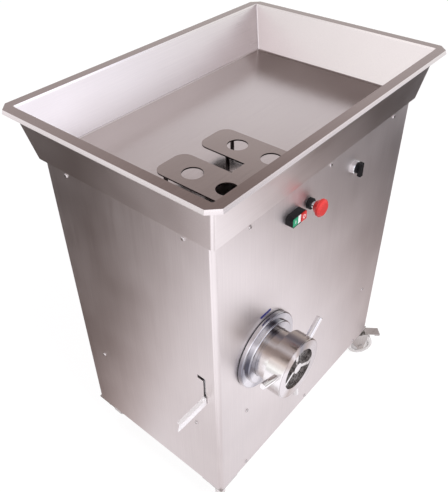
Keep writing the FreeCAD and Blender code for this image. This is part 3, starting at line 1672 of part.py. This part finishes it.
for obj in doc.Objects:
    if "Invalid" in obj.State or "Error" in obj.State:
        raise RuntimeError(f"{obj.Name} ({obj.Label}) failed: {obj.State}")
for label, obj in NODES.items():
    if obj.Shape.isNull() or not obj.Shape.isValid():
        raise RuntimeError(f"{label} has no valid shape")

os.makedirs("parts", exist_ok=True)
for label, obj in NODES.items():
    obj.Shape.exportStep(f"parts/{label}.step")
whole = FreeCAD.BoundBox()
for obj in NODES.values():
    whole.add(obj.Shape.BoundBox)
print(len(NODES), "sub-parts", whole)
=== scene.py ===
import math

import bmesh
import bpy
from mathutils import Matrix, Vector


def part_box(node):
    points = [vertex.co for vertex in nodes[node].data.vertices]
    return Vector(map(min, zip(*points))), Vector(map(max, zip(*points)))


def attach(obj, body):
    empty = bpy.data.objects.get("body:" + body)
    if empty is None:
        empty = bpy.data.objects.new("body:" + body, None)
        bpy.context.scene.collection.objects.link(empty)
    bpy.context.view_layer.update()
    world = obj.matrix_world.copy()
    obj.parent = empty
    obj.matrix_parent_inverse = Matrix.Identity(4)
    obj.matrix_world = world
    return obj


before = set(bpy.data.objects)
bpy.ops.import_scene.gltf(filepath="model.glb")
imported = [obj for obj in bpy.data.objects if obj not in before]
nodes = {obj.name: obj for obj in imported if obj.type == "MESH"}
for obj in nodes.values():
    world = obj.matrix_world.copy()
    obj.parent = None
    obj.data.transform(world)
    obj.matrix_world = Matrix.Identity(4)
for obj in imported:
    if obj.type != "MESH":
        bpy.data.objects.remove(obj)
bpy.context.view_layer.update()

scene = bpy.context.scene

WHITE = (1, 1, 1)

# View fitted to the photograph, in degrees, metres and pixels
AZIMUTH, ELEVATION, ROLL = -49.26, 39.532, -1.066
TARGET, DISTANCE = Vector((-0.0432, 0.0225, 0.5992)), 1.4795
FOCAL_LENGTH, IMAGE_HEIGHT = 596.59, 492
SENSOR_HEIGHT = 36.0
FARTHEST_SEEN = 50


# Camera at the photograph's viewing angle
def make_camera():
    azimuth, elevation, roll = (math.radians(angle) for angle in (AZIMUTH, ELEVATION, ROLL))
    back = Vector((math.sin(azimuth) * math.cos(elevation), -math.cos(azimuth) * math.cos(elevation),
                   math.sin(elevation)))
    right = Vector((math.cos(azimuth), math.sin(azimuth), 0))
    up = back.cross(right)
    tilted_right = right * math.cos(roll) + up * math.sin(roll)
    tilted_up = up * math.cos(roll) - right * math.sin(roll)
    data = bpy.data.cameras.new("photo_camera")
    data.sensor_fit = "VERTICAL"
    data.sensor_height = SENSOR_HEIGHT
    data.lens = FOCAL_LENGTH / IMAGE_HEIGHT * SENSOR_HEIGHT
    data.clip_end = FARTHEST_SEEN
    camera = bpy.data.objects.new("photo_camera", data)
    turn = Matrix((tilted_right, tilted_up, back)).transposed().to_4x4()
    camera.matrix_world = Matrix.Translation(TARGET + back * DISTANCE) @ turn
    scene.collection.objects.link(camera)
    scene.camera = camera


# Small helpers for shader nodes
def new_material(name):
    material = bpy.data.materials.new(name)
    material.use_nodes = True
    tree = material.node_tree
    return material, tree, tree.nodes["Principled BSDF"]


def coordinates(tree, kind):
    return tree.nodes.new("ShaderNodeTexCoord").outputs[kind]


def split(tree, vector):
    """The X, Y and Z of a vector."""
    axes = tree.nodes.new("ShaderNodeSeparateXYZ")
    tree.links.new(vector, axes.inputs["Vector"])
    return axes.outputs


def vector_math(tree, operation, vector, constant, output):
    """A vector operation with a fixed second vector."""
    item = tree.nodes.new("ShaderNodeVectorMath")
    item.operation = operation
    tree.links.new(vector, item.inputs[0])
    item.inputs[1].default_value = constant
    return item.outputs[output]


def along(tree, vector, direction):
    """Product of a vector with a fixed direction."""
    return vector_math(tree, "DOT_PRODUCT", vector, direction, "Value")


def math_node(tree, operation, first, second):
    item = tree.nodes.new("ShaderNodeMath")
    item.operation = operation
    tree.links.new(first, item.inputs[0])
    tree.links.new(second, item.inputs[1])
    return item.outputs[0]


def multiplied(tree, first, second):
    return math_node(tree, "MULTIPLY", first, second)


def ramp(tree, source, stops):
    """Colour ramp over a factor: stops of (place, colour)."""
    item = tree.nodes.new("ShaderNodeValToRGB")
    elements = item.color_ramp.elements
    while len(elements) < len(stops):
        elements.new(0.5)
    for element, (place, colour) in zip(elements, stops):
        element.position = place
        element.color = (*colour, 1)
    tree.links.new(source, item.inputs["Fac"])
    return item.outputs["Color"]


def spread(tree, source, low, high, from_low, from_high):
    """Map the second range onto the first, held at its ends."""
    item = tree.nodes.new("ShaderNodeMapRange")
    item.inputs["From Min"].default_value = from_low
    item.inputs["From Max"].default_value = from_high
    item.inputs["To Min"].default_value = low
    item.inputs["To Max"].default_value = high
    tree.links.new(source, item.inputs["Value"])
    return item.outputs["Result"]


def rising(tree, source, low, high):
    """0 up to the low value and 1 from the high one on."""
    return spread(tree, source, 0.0, 1.0, low, high)


def falling(tree, source, low, high):
    """1 up to the low value and 0 from the high one on."""
    return spread(tree, source, 1.0, 0.0, low, high)


def noise(tree, scale_xyz, detail, roughness=0.55):
    """Noise over the part's own metres, stretched by a scale for each axis."""
    mapping = tree.nodes.new("ShaderNodeMapping")
    mapping.inputs["Scale"].default_value = scale_xyz
    texture = tree.nodes.new("ShaderNodeTexNoise")
    texture.inputs["Scale"].default_value = 1.0
    texture.inputs["Detail"].default_value = detail
    texture.inputs["Roughness"].default_value = roughness
    tree.links.new(coordinates(tree, "Object"), mapping.inputs["Vector"])
    tree.links.new(mapping.outputs["Vector"], texture.inputs["Vector"])
    return texture.outputs["Fac"]


def blend_factor(tree, first, second, weight):
    item = tree.nodes.new("ShaderNodeMix")
    item.data_type = "FLOAT"
    item.inputs["Factor"].default_value = weight
    tree.links.new(first, item.inputs[2])
    tree.links.new(second, item.inputs[3])
    return item.outputs[0]


def mix_colours(tree, first, second, factor=None, blend="MIX"):
    """Blend two colours, each a tuple or a socket, fully where no factor is given."""
    item = tree.nodes.new("ShaderNodeMix")
    item.data_type = "RGBA"
    item.blend_type = blend
    item.inputs["Factor"].default_value = 1.0
    if factor is not None:
        tree.links.new(factor, item.inputs["Factor"])
    for source, name in ((first, "A"), (second, "B")):
        if isinstance(source, tuple):
            item.inputs[name].default_value = (*source, 1)
        else:
            tree.links.new(source, item.inputs[name])
    return item.outputs["Result"]


def tinted(tree, colour, tint, factor):
    """Colour times a tint, as far as the factor goes."""
    return mix_colours(tree, colour, mix_colours(tree, WHITE, tint, factor), blend="MULTIPLY")


def bump(tree, shader, height, strength, distance):
    item = tree.nodes.new("ShaderNodeBump")
    item.inputs["Strength"].default_value = strength
    item.inputs["Distance"].default_value = distance
    tree.links.new(height, item.inputs["Height"])
    tree.links.new(item.outputs["Normal"], shader.inputs["Normal"])


# Places and directions on the part
def upward(tree):
    """1 on faces that look up and 0 on upright ones."""
    return rising(tree, split(tree, coordinates(tree, "Normal"))["Z"], 0.4, 0.85)


def frontward(tree):
    """1 on faces that look to the front and 0 on those that look sideways."""
    return falling(tree, split(tree, coordinates(tree, "Normal"))["Y"], -0.95, -0.7)


# Shares of the tray's height where its floor ends, its walls begin and end, and its rim begins
TRAY_LEVELS = 0.03, 0.06, 0.95, 0.97


def tray_finish(tree, floor, wall, rim):
    """Factor that changes from the tray's floor to its walls and its rim."""
    low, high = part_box("feed_tray")
    height = rising(tree, split(tree, coordinates(tree, "Object"))["Z"], low.z, high.z)
    stops = [(level, (value,) * 3) for level, value in zip(TRAY_LEVELS, (floor, wall, wall, rim))]
    return ramp(tree, height, stops)


def around_head(tree):
    """Turn about the head's axis: 0 at the left, then 0.25 below, 0.5 at the right and 0.75 above."""
    low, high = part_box("head_flange")
    middle = ((low.x + high.x) / 2, 0.0, (low.z + high.z) / 2)
    offset = split(tree, vector_math(tree, "SUBTRACT", coordinates(tree, "Object"), middle, "Vector"))
    flat = tree.nodes.new("ShaderNodeCombineXYZ")
    tree.links.new(offset["X"], flat.inputs["X"])
    tree.links.new(offset["Z"], flat.inputs["Y"])
    turn = tree.nodes.new("ShaderNodeTexGradient")
    turn.gradient_type = "RADIAL"
    tree.links.new(flat.outputs["Vector"], turn.inputs["Vector"])
    return turn.outputs["Fac"]


# Noise that takes a material from its dark tone to its light one, and noise scales along X, Y and Z
NOISE_LOW, NOISE_HIGH = 0.3, 0.7
GRAIN = {"x": (7, 620, 620), "z": (620, 620, 7)}
RINGS = (3, 900, 3)
SHEET_CLOUDS, TURNED_CLOUDS, MOULDED_CLOUDS = (5, 5, 5), (18, 18, 18), (35, 35, 35)
# Painted shade: darker, browner tint on the top of the tray's rim; and factors for the tray's floor, walls
# and rim
PAINTED_RIM_SHADE = (0.42, 0.37, 0.35)
RIM_ONLY = 0.0, 0.0, 1.0
TRAY_TONES = 0.88, 1.0, 1.0
TRAY_ROUGHNESS = 0.65, 0.9, 0.55


# Kinds of material
def mottled(tree, first, second, weight, dark, light, rough):
    """Colour and roughness that follow a blend of two noises."""
    mixed = blend_factor(tree, first, second, weight)
    colour = ramp(tree, mixed, [(NOISE_LOW, dark), (NOISE_HIGH, light)])
    return colour, spread(tree, mixed, *rough, NOISE_LOW, NOISE_HIGH)


def brushed(name, dark, light, grain, rough=(0.28, 0.42), tray=False, painted_edge_shade=None, metallic=1.0):
    """Brushed sheet: fine lines along one axis over broad, faint handling marks."""
    material, tree, shader = new_material(name)
    lines = noise(tree, GRAIN[grain], detail=4.0, roughness=0.7)
    clouds = noise(tree, SHEET_CLOUDS, detail=2.0)
    colour, roughness = mottled(tree, lines, clouds, 0.45, dark, light, rough)
    # Painted shade: faces that don't look up, such as edges and hole walls, take this dark colour
    if painted_edge_shade:
        colour = mix_colours(tree, painted_edge_shade, colour, upward(tree))
    if tray:
        # Painted shade: the top of the rim is tinted darker and browner
        rim = multiplied(tree, upward(tree), tray_finish(tree, *RIM_ONLY))
        colour = tinted(tree, colour, PAINTED_RIM_SHADE, rim)
        colour = mix_colours(tree, colour, tray_finish(tree, *TRAY_TONES), blend="MULTIPLY")
        roughness = multiplied(tree, roughness, tray_finish(tree, *TRAY_ROUGHNESS))
    tree.links.new(colour, shader.inputs["Base Color"])
    tree.links.new(roughness, shader.inputs["Roughness"])
    shader.inputs["Metallic"].default_value = metallic
    bump(tree, shader, lines, strength=0.06, distance=0.0004)
    return material


def turned_metal(name, dark, light, rough, reflection_sectors=None, face=None):
    """Turned metal with faint rings along the head's axis, painted reflections as light, dark and warm
    sectors about the head, and a tint on front faces.
    """
    material, tree, shader = new_material(name)
    rings = noise(tree, RINGS, detail=3.0, roughness=0.6)
    clouds = noise(tree, TURNED_CLOUDS, detail=2.0)
    colour, roughness = mottled(tree, rings, clouds, 0.5, dark, light, rough)
    # Painted reflections: light, dark and warm bands by turn about the head's axis
    if reflection_sectors:
        colour = mix_colours(tree, colour, ramp(tree, around_head(tree), reflection_sectors), blend="MULTIPLY")
    if face:
        colour = tinted(tree, colour, face, frontward(tree))
    tree.links.new(colour, shader.inputs["Base Color"])
    tree.links.new(roughness, shader.inputs["Roughness"])
    shader.inputs["Metallic"].default_value = 1.0
    bump(tree, shader, rings, strength=0.05, distance=0.0003)
    return material


def speckled(name, dark, light, rough, scale=900, strength=0.12, shine=0.35):
    """Moulded plastic, rubber, paint or casting: fine tooth and slight mottling."""
    material, tree, shader = new_material(name)
    tooth = noise(tree, (scale, scale, scale), detail=2.0)
    clouds = noise(tree, MOULDED_CLOUDS, detail=3.0)
    colour, roughness = mottled(tree, tooth, clouds, 0.5, dark, light, rough)
    tree.links.new(colour, shader.inputs["Base Color"])
    tree.links.new(roughness, shader.inputs["Roughness"])
    shader.inputs["Specular IOR Level"].default_value = shine
    bump(tree, shader, tooth, strength, distance=0.0003)
    return material


# Tones that several metals share, and painted reflections: sectors of (turn about the head, tint) that lay
# light, dark and warm bands on the flange and barrel
SHEET = (0.72, 0.67, 0.66), (0.84, 0.79, 0.775)
POLISHED = (0.7, 0.68, 0.67), (0.84, 0.82, 0.81), (0.12, 0.22)
MIDDLE_REFLECTION, SHADED, WARM_REFLECTION = (0.6, 0.6, 0.62), (0.32, 0.32, 0.36), (0.6, 0.53, 0.48)
FLANGE_REFLECTIONS = [(0.0, SHADED), (0.03, MIDDLE_REFLECTION), (0.06, WHITE), (0.12, WHITE), (0.16, MIDDLE_REFLECTION),
                  (0.3, WHITE), (0.62, WHITE), (0.68, MIDDLE_REFLECTION), (0.71, SHADED), (0.75, SHADED),
                  (0.785, WHITE), (0.87, WHITE), (0.915, MIDDLE_REFLECTION), (0.95, SHADED), (1.0, SHADED)]
BARREL_REFLECTIONS = [(0.0, WHITE), (0.08, WHITE), (0.15, WARM_REFLECTION), (0.3, WHITE), (0.6, WHITE), (0.68, WARM_REFLECTION),
                  (0.74, SHADED), (0.78, WARM_REFLECTION), (0.81, WHITE), (0.83, WARM_REFLECTION), (0.87, WARM_REFLECTION), (0.91, WHITE)]


# Materials of the CAD nodes
def dress(material, *names):
    for name in names:
        data = nodes[name].data
        data.materials.clear()
        data.materials.append(material)


def paint_sheets():
    panels = brushed("panel_steel", *SHEET, "z")
    make_seams(panels)
    dress(panels, "left_panel", "right_panel", "rear_panel", "base_plate", "feed_chute")
    dress(brushed("front_steel", *SHEET, "z", rough=(0.37, 0.48)), "front_panel")
    # Painted light: the skirt is a lighter copy of the sheet steel
    dress(brushed("skirt_steel", (0.8, 0.75, 0.74), (0.93, 0.88, 0.865), "x"), "tray_skirt")
    dress(brushed("tray_steel", *SHEET, "x", tray=True), "feed_tray")
    # Painted shade: the guard is a darker, browner copy of the sheet steel, with near-black edges and hole
    # walls
    guard = brushed("guard_steel", (0.38, 0.33, 0.31), (0.46, 0.4, 0.375), "x", (0.2, 0.28),
                    painted_edge_shade=(0.06, 0.05, 0.05))
    dress(guard, "finger_guard")
    lock = brushed("lock_steel", (0.86, 0.84, 0.84), (0.95, 0.94, 0.94), "x", (0.36, 0.5), metallic=0.35)
    dress(lock, "lock_lever", "lock_bolt", "lock_guide")


def paint_turned_parts():
    dress(turned_metal("handle_steel", *POLISHED), "nut_handles")
    # Painted reflections: sector bands on the barrel and ring nut
    barrel = turned_metal("barrel_steel", *POLISHED, BARREL_REFLECTIONS, (0.8, 0.77, 0.78))
    dress(barrel, "grinder_barrel", "ring_nut")
    # Painted reflections: sector bands on the flange
    flange = turned_metal("flange_steel", (0.7, 0.69, 0.7), (0.86, 0.85, 0.86), (0.1, 0.2),
                          FLANGE_REFLECTIONS, (0.88, 0.87, 0.89))
    dress(flange, "head_flange")
    dress(turned_metal("support_steel", (0.62, 0.6, 0.59), (0.8, 0.78, 0.77), (0.1, 0.2)), "plate_support")
    # Painted shade: knife, worm and key are kept near black so the inside of the head and throat reads as
    # shadow
    cutting = turned_metal("cutting_steel", (0.1, 0.09, 0.09), (0.2, 0.19, 0.18), (0.22, 0.36))
    dress(cutting, "cutter_knife", "feed_worm", "plate_key")
    dress(turned_metal("plate_steel", (0.2, 0.19, 0.185), (0.4, 0.385, 0.375), (0.2, 0.32)), "mincing_plate")
    screws = turned_metal("screw_steel", (0.5, 0.47, 0.46), (0.7, 0.67, 0.66), (0.15, 0.3))
    dress(screws, "panel_screws", "drive_bolts")
    chrome = turned_metal("switch_chrome", (0.6, 0.6, 0.61), (0.75, 0.75, 0.76), (0.06, 0.14))
    dress(chrome, "selector_bezel", "estop_plunger")
    shafts = turned_metal("shaft_steel", (0.36, 0.36, 0.36), (0.5, 0.5, 0.5), (0.2, 0.34))
    dress(shafts, "output_shaft", "output_gear", "drive_pinion", "shaft_bearings")
    dress(shafts, "motor_rotor", "motor_stator")


def paint_moulded_parts():
    rubber = speckled("seal_rubber", (0.012, 0.012, 0.016), (0.03, 0.03, 0.036), (0.5, 0.7))
    dress(rubber, "head_seal", "shaft_seal")
    black = speckled("black_plastic", (0.006, 0.006, 0.007), (0.016, 0.016, 0.017), (0.3, 0.45), shine=0.15)
    dress(black, "start_stop_housing", "selector_knob", "estop_collar")
    dress(black, "cable_gland", "motor_fan", "fan_cowl", "terminal_box")
    dress(speckled("green_plastic", (0.01, 0.26, 0.12), (0.03, 0.36, 0.19), (0.28, 0.42)), "start_button")
    red = speckled("red_plastic", (0.5, 0.022, 0.022), (0.64, 0.045, 0.04), (0.28, 0.42))
    dress(red, "stop_button", "estop_cap")
    dress(speckled("white_lens", (0.7, 0.7, 0.68), (0.84, 0.84, 0.82), (0.2, 0.32)), "pilot_lens")


def paint_cases():
    cast = speckled("cast_case", (0.11, 0.12, 0.14), (0.2, 0.215, 0.24), (0.45, 0.62),
                    scale=260, strength=0.4)
    dress(cast, "gearbox_housing", "gearbox_cover")
    motor = speckled("motor_paint", (0.18, 0.2, 0.23), (0.26, 0.28, 0.31), (0.42, 0.58),
                     scale=320, strength=0.3)
    dress(motor, "motor_housing")
    painted = speckled("frame_paint", (0.2, 0.21, 0.22), (0.3, 0.31, 0.32), (0.42, 0.58))
    dress(painted, "base_frame", "control_box")


def paint_casters():
    plated = turned_metal("caster_zinc", (0.55, 0.53, 0.51), (0.72, 0.7, 0.68), (0.16, 0.3))
    nylon = speckled("caster_nylon", (0.62, 0.6, 0.58), (0.76, 0.74, 0.72), (0.35, 0.5))
    dress(plated, "caster_plates", "caster_brake_front_left", "caster_brake_front_right")
    for corner in ("front_left", "front_right", "rear_left", "rear_right"):
        dress(plated, f"caster_fork_{corner}")
        dress(nylon, f"caster_wheel_{corner}")


# Thin pieces of the scene's own, with sizes in metres
START_BAR = 0.0016, 0.0085
STOP_RING = 0.0044, 0.003
MARK_THICKNESS = 0.0003
STRIP_BAR, STRIP_THICKNESS, STRIP_ABOVE_FLANGE = (0.005, 0.036), 0.0012, 0.014
SUNK = Vector((0, 0.00005, 0))
RING_STEPS, END_STEPS = 28, 8
# Outline of a seam: metres in from the side panel's face, and out past its edge
SEAM = [(0.0, -0.0002), (0.0003, 0.0011), (0.001, 0.0023), (0.0022, 0.0034), (0.0022, -0.0002)]


def join_loops(mesh, first, second):
    """Faces between two closed loops with the same number of points."""
    count = len(first)
    for k in range(count):
        following = (k + 1) % count
        mesh.faces.new((first[k], first[following], second[following], second[k]))


def flat_ring(outer, inner):
    mesh = bmesh.new()
    angles = [2 * math.pi * k / RING_STEPS for k in range(RING_STEPS)]
    loops = [[mesh.verts.new((radius * math.cos(angle), radius * math.sin(angle), 0)) for angle in angles]
             for radius in (outer, inner)]
    join_loops(mesh, *loops)
    return mesh


def flat_bar(width, height):
    """Upright bar with rounded ends."""
    mesh = bmesh.new()
    corners = []
    radius = width / 2
    for end, start in ((1, 0), (-1, math.pi)):
        for k in range(END_STEPS + 1):
            angle = start + math.pi * k / END_STEPS
            corners.append(mesh.verts.new((radius * math.cos(angle),
                                           end * (height / 2 - radius) + radius * math.sin(angle), 0)))
    mesh.faces.new(corners)
    return mesh


def add_piece(name, mesh, material):
    """Object made of a closed mesh."""
    bmesh.ops.recalc_face_normals(mesh, faces=mesh.faces)
    data = bpy.data.meshes.new(name)
    mesh.to_mesh(data)
    mesh.free()
    data.materials.append(material)
    piece = bpy.data.objects.new(name, data)
    scene.collection.objects.link(piece)
    return piece


def on_face(node):
    """Middle of the front of a node's box."""
    low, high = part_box(node)
    return Vector(((low.x + high.x) / 2, low.y, (low.z + high.z) / 2))


def add_mark(name, mesh, middle, thickness, body, material):
    """Thin raised piece on a face that looks to the front."""
    made = bmesh.ops.extrude_face_region(mesh, geom=mesh.faces[:])
    lifted = [item for item in made["geom"] if isinstance(item, bmesh.types.BMVert)]
    bmesh.ops.translate(mesh, vec=(0, 0, thickness), verts=lifted)
    mark = add_piece(name, mesh, material)
    mark.matrix_world = Matrix.Translation(middle + SUNK) @ Matrix.Rotation(math.pi / 2, 4, "X")
    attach(mark, body)


def make_marks():
    """Generic on and off marks on the two push-buttons."""
    ink = speckled("mark_ink", (0.66, 0.66, 0.64), (0.8, 0.8, 0.78), (0.3, 0.42))
    for name, mesh in (("start", flat_bar(*START_BAR)), ("stop", flat_ring(*STOP_RING))):
        button = f"{name}_button"
        add_mark(f"{name}_mark", mesh, on_face(button), MARK_THICKNESS, button, ink)


def make_strip():
    """Blue strip on the front panel over the head's flange."""
    blue = speckled("strip_blue", (0.008, 0.009, 0.1), (0.02, 0.022, 0.18), (0.3, 0.45))
    flange_low, flange_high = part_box("head_flange")
    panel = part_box("front_panel")[0].y
    middle = Vector(((flange_low.x + flange_high.x) / 2, panel, flange_high.z + STRIP_ABOVE_FLANGE))
    bar = flat_bar(*STRIP_BAR)
    bmesh.ops.rotate(bar, verts=bar.verts[:], matrix=Matrix.Rotation(math.pi / 2, 3, "Z"))
    add_mark("panel_strip", bar, middle, STRIP_THICKNESS, "cabinet", blue)


def make_seams(material):
    """Ground seams where the side panels lap the front and rear sheets."""
    for side, inward in (("left", 1), ("right", -1)):
        low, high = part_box(f"{side}_panel")
        face = low.x if side == "left" else high.x
        for end, edge, away in (("front", low.y, -1), ("rear", high.y, 1)):
            outline = [(face + inward * across, edge + away * past) for across, past in SEAM]
            add_seam(f"seam_{end}_{side}", outline, low.z, high.z, material)


def add_seam(name, outline, bottom, top, material):
    mesh = bmesh.new()
    loops = [[mesh.verts.new((x, y, z)) for x, y in outline] for z in (bottom, top)]
    join_loops(mesh, *loops)
    for loop in loops:
        mesh.faces.new(loop)
    seam = add_piece(name, mesh, material)
    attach(seam, "cabinet")


# Studio tones: share of green and of blue in black, and what full brightness adds
GREEN, BLUE = (0.74, 0.24), (0.67, 0.36)
COOL_TINT = (0.97, 1.0, 1.08)
UP, FRONT, LEFT, RIGHT = (0, 0, 1), (0, -1, 0), (-1, 0, 0), (1, 0, 0)
FRONT_LEFT, FRONT_RIGHT, BACK_RIGHT = (-0.85, -0.5, 0), (0.96, -0.28, 0), (0.72, 0.69, 0)
# Sky brightness by height, where 1 is straight up
SKY = [(-1.0, 0.9), (0.0, 1.45), (0.3, 1.45), (0.42, 0.6), (0.52, 0.42), (0.63, 0.48), (0.76, 0.22),
       (0.9, 0.18), (1.0, 0.4)]
SKY_BEHIND = [(0.0, 1.0), (0.3, 0.9), (0.47, 0.9), (0.53, 0.55), (0.7, 0.3), (1.0, 0.25)]
SKY_LEFT = [(0.0, 0.75), (0.35, 0.8), (0.5, 1.2), (1.0, 1.3)]
# Brightness of the floor that metal mirrors, to the back and to the right, and of the floor far off
TO_BACK, TO_RIGHT = (0.55, 1, 0), (1, 0.3, 0)
FLOOR_BACK = [(-0.7, 1.6), (-0.45, 1.4), (-0.35, 0.86), (-0.2, 0.95), (-0.13, 0.88), (-0.06, 0.65),
              (0.02, 0.44), (0.1, 0.28), (0.2, 0.18), (0.5, 0.11), (0.77, 0.06)]
FLOOR_RIGHT = [(-1.0, 1.3), (-0.8, 1.2), (-0.62, 0.82), (-0.45, 0.84), (-0.2, 1.03), (0.0, 1.5),
               (0.12, 1.55), (0.28, 0.97), (0.4, 0.72), (0.6, 0.46), (0.75, 0.3), (0.9, 0.16),
               (1.2, 0.07), (1.5, 0.04), (1.9, 0.02)]
FLOOR_FAR, FAR_FROM, FAR_TO = 0.95, 3.0, 4.2
# Floor: half its width and its gap under the wheels, then its glow and greys
FLOOR_REACH, FLOOR_GAP = 6.0, 0.0004
FLOOR_GLOW, FLOOR_SHADOW_GREY, FLOOR_BOUNCE_GREY = 0.88, 0.2, 0.8


# Studio with a white background, a pale floor and soft lamps
def shade(value):
    """Studio tone of a brightness, neutral where it is bright and brown where it is dim."""
    return (value, *(value * (share + gain * min(value, 1)) for share, gain in (GREEN, BLUE)))


def graded(tree, source, stops):
    """Studio tones along a value: stops of (value, brightness)."""
    low, high = stops[0][0], stops[-1][0]
    factor = rising(tree, source, low, high)
    return ramp(tree, factor, [((place - low) / (high - low), shade(value)) for place, value in stops])


def seen_plainly(tree):
    """1 for what the camera sees, straight or through glass."""
    rays = tree.nodes.new("ShaderNodeLightPath").outputs
    return math_node(tree, "MAXIMUM", rays["Is Camera Ray"], rays["Is Transmission Ray"])


def make_world():
    """White for the camera. Light and metal get a bright horizon under a dim ceiling with pale areas."""
    world = bpy.data.worlds.new("studio")
    scene.world = world
    world.use_nodes = True
    tree = world.node_tree
    direction = coordinates(tree, "Generated")
    height = along(tree, direction, UP)

    def toward(way, low, high):
        return rising(tree, along(tree, direction, way), low, high)

    dimmer = spread(tree, along(tree, direction, FRONT_RIGHT), 1.0, 0.4, 0.68, 0.92)
    sky = mix_colours(tree, graded(tree, height, SKY), dimmer, blend="MULTIPLY")
    sky = tinted(tree, sky, COOL_TINT, toward(FRONT, 0.2, 0.6))
    sky = mix_colours(tree, sky, graded(tree, height, SKY_BEHIND), toward(BACK_RIGHT, 0.45, 0.7))
    over_right = multiplied(tree, rising(tree, height, 0.62, 0.76), toward(RIGHT, 0.2, 0.45))
    sky = mix_colours(tree, sky, shade(0.9), over_right)
    over_front = multiplied(tree, rising(tree, height, 0.64, 0.78), toward(FRONT, 0.2, 0.45))
    sky = mix_colours(tree, sky, shade(1.0), over_front)
    sky = mix_colours(tree, sky, graded(tree, height, SKY_LEFT), toward(LEFT, 0.5, 0.72))
    low_front_left = multiplied(tree, falling(tree, height, 0.55, 0.68), toward(FRONT_LEFT, 0.7, 0.86))
    sky = mix_colours(tree, sky, shade(1.4), low_front_left)
    whitened = mix_colours(tree, sky, WHITE, blend="LIGHTEN")
    sky = mix_colours(tree, sky, whitened, falling(tree, height, 0.28, 0.4))
    seen = mix_colours(tree, sky, WHITE, seen_plainly(tree))
    background = tree.nodes["Background"]
    tree.links.new(seen, background.inputs["Color"])
    background.inputs["Strength"].default_value = 1.0


def floor_tone(tree):
    """The floor that metal mirrors: bright at the front left, dark to the right and behind, pale far off."""
    place = coordinates(tree, "Object")
    back = graded(tree, along(tree, place, TO_BACK), FLOOR_BACK)
    right = graded(tree, along(tree, place, TO_RIGHT), FLOOR_RIGHT)
    near = mix_colours(tree, back, right, blend="DARKEN")
    distance = vector_math(tree, "LENGTH", place, (0, 0, 0), "Value")
    return mix_colours(tree, near, shade(FLOOR_FAR), rising(tree, distance, FAR_FROM, FAR_TO))


def matte(tree, grey):
    item = tree.nodes.new("ShaderNodeBsdfDiffuse")
    item.inputs["Color"].default_value = (grey, grey, grey, 1)
    return item.outputs[0]


def mix_shaders(tree, factor, first, second):
    item = tree.nodes.new("ShaderNodeMixShader")
    tree.links.new(factor, item.inputs["Fac"])
    tree.links.new(first, item.inputs[1])
    tree.links.new(second, item.inputs[2])
    return item.outputs[0]


def make_floor():
    """White floor that keeps a light shadow."""
    data = bpy.data.meshes.new("floor")
    corners = ((-1, -1), (1, -1), (1, 1), (-1, 1))
    data.from_pydata([(x * FLOOR_REACH, y * FLOOR_REACH, 0) for x, y in corners], [], [(0, 1, 2, 3)])
    floor = bpy.data.objects.new("floor", data)
    floor.location.z = -FLOOR_GAP
    scene.collection.objects.link(floor)
    material, tree, shader = new_material("floor_white")
    tree.nodes.remove(shader)
    white = tree.nodes.new("ShaderNodeEmission")
    white.inputs["Strength"].default_value = FLOOR_GLOW
    seen = tree.nodes.new("ShaderNodeAddShader")
    tree.links.new(white.outputs[0], seen.inputs[0])
    tree.links.new(matte(tree, FLOOR_SHADOW_GREY), seen.inputs[1])
    mirrored = tree.nodes.new("ShaderNodeEmission")
    tree.links.new(floor_tone(tree), mirrored.inputs["Color"])
    glossy = tree.nodes.new("ShaderNodeLightPath").outputs["Is Glossy Ray"]
    other = mix_shaders(tree, glossy, matte(tree, FLOOR_BOUNCE_GREY), mirrored.outputs[0])
    final = mix_shaders(tree, seen_plainly(tree), other, seen.outputs[0])
    tree.links.new(final, tree.nodes["Material Output"].inputs["Surface"])
    data.materials.append(material)


def add_lamp(name, place, aim, size, power, mirrored=True):
    """Rectangular lamp, which metal mirrors or not."""
    data = bpy.data.lights.new(name, "AREA")
    data.shape = "RECTANGLE"
    data.size, data.size_y = size
    data.energy = power
    lamp = bpy.data.objects.new(name, data)
    place = Vector(place)
    turn = (Vector(aim) - place).to_track_quat("-Z", "Y")
    lamp.matrix_world = Matrix.Translation(place) @ turn.to_matrix().to_4x4()
    lamp.visible_glossy = mirrored
    scene.collection.objects.link(lamp)


def make_lamps():
    add_lamp("key", place=(-0.3, -1.9, 2.9), aim=(0, 0, 0.8), size=(1.0, 1.0), power=45, mirrored=False)
    add_lamp("front", place=(1.0, -2.4, 1.45), aim=(0, 0.2, 0.98), size=(1.4, 0.6), power=1.5)
    add_lamp("left", place=(-2.8, 0.9, 1.6), aim=(0, 0, 0.7), size=(1.4, 1.8), power=2.5)


make_camera()
paint_sheets()
paint_turned_parts()
paint_moulded_parts()
paint_cases()
paint_casters()
make_marks()
make_strip()
make_world()
make_floor()
make_lamps()
scene.view_settings.view_transform = "Standard"
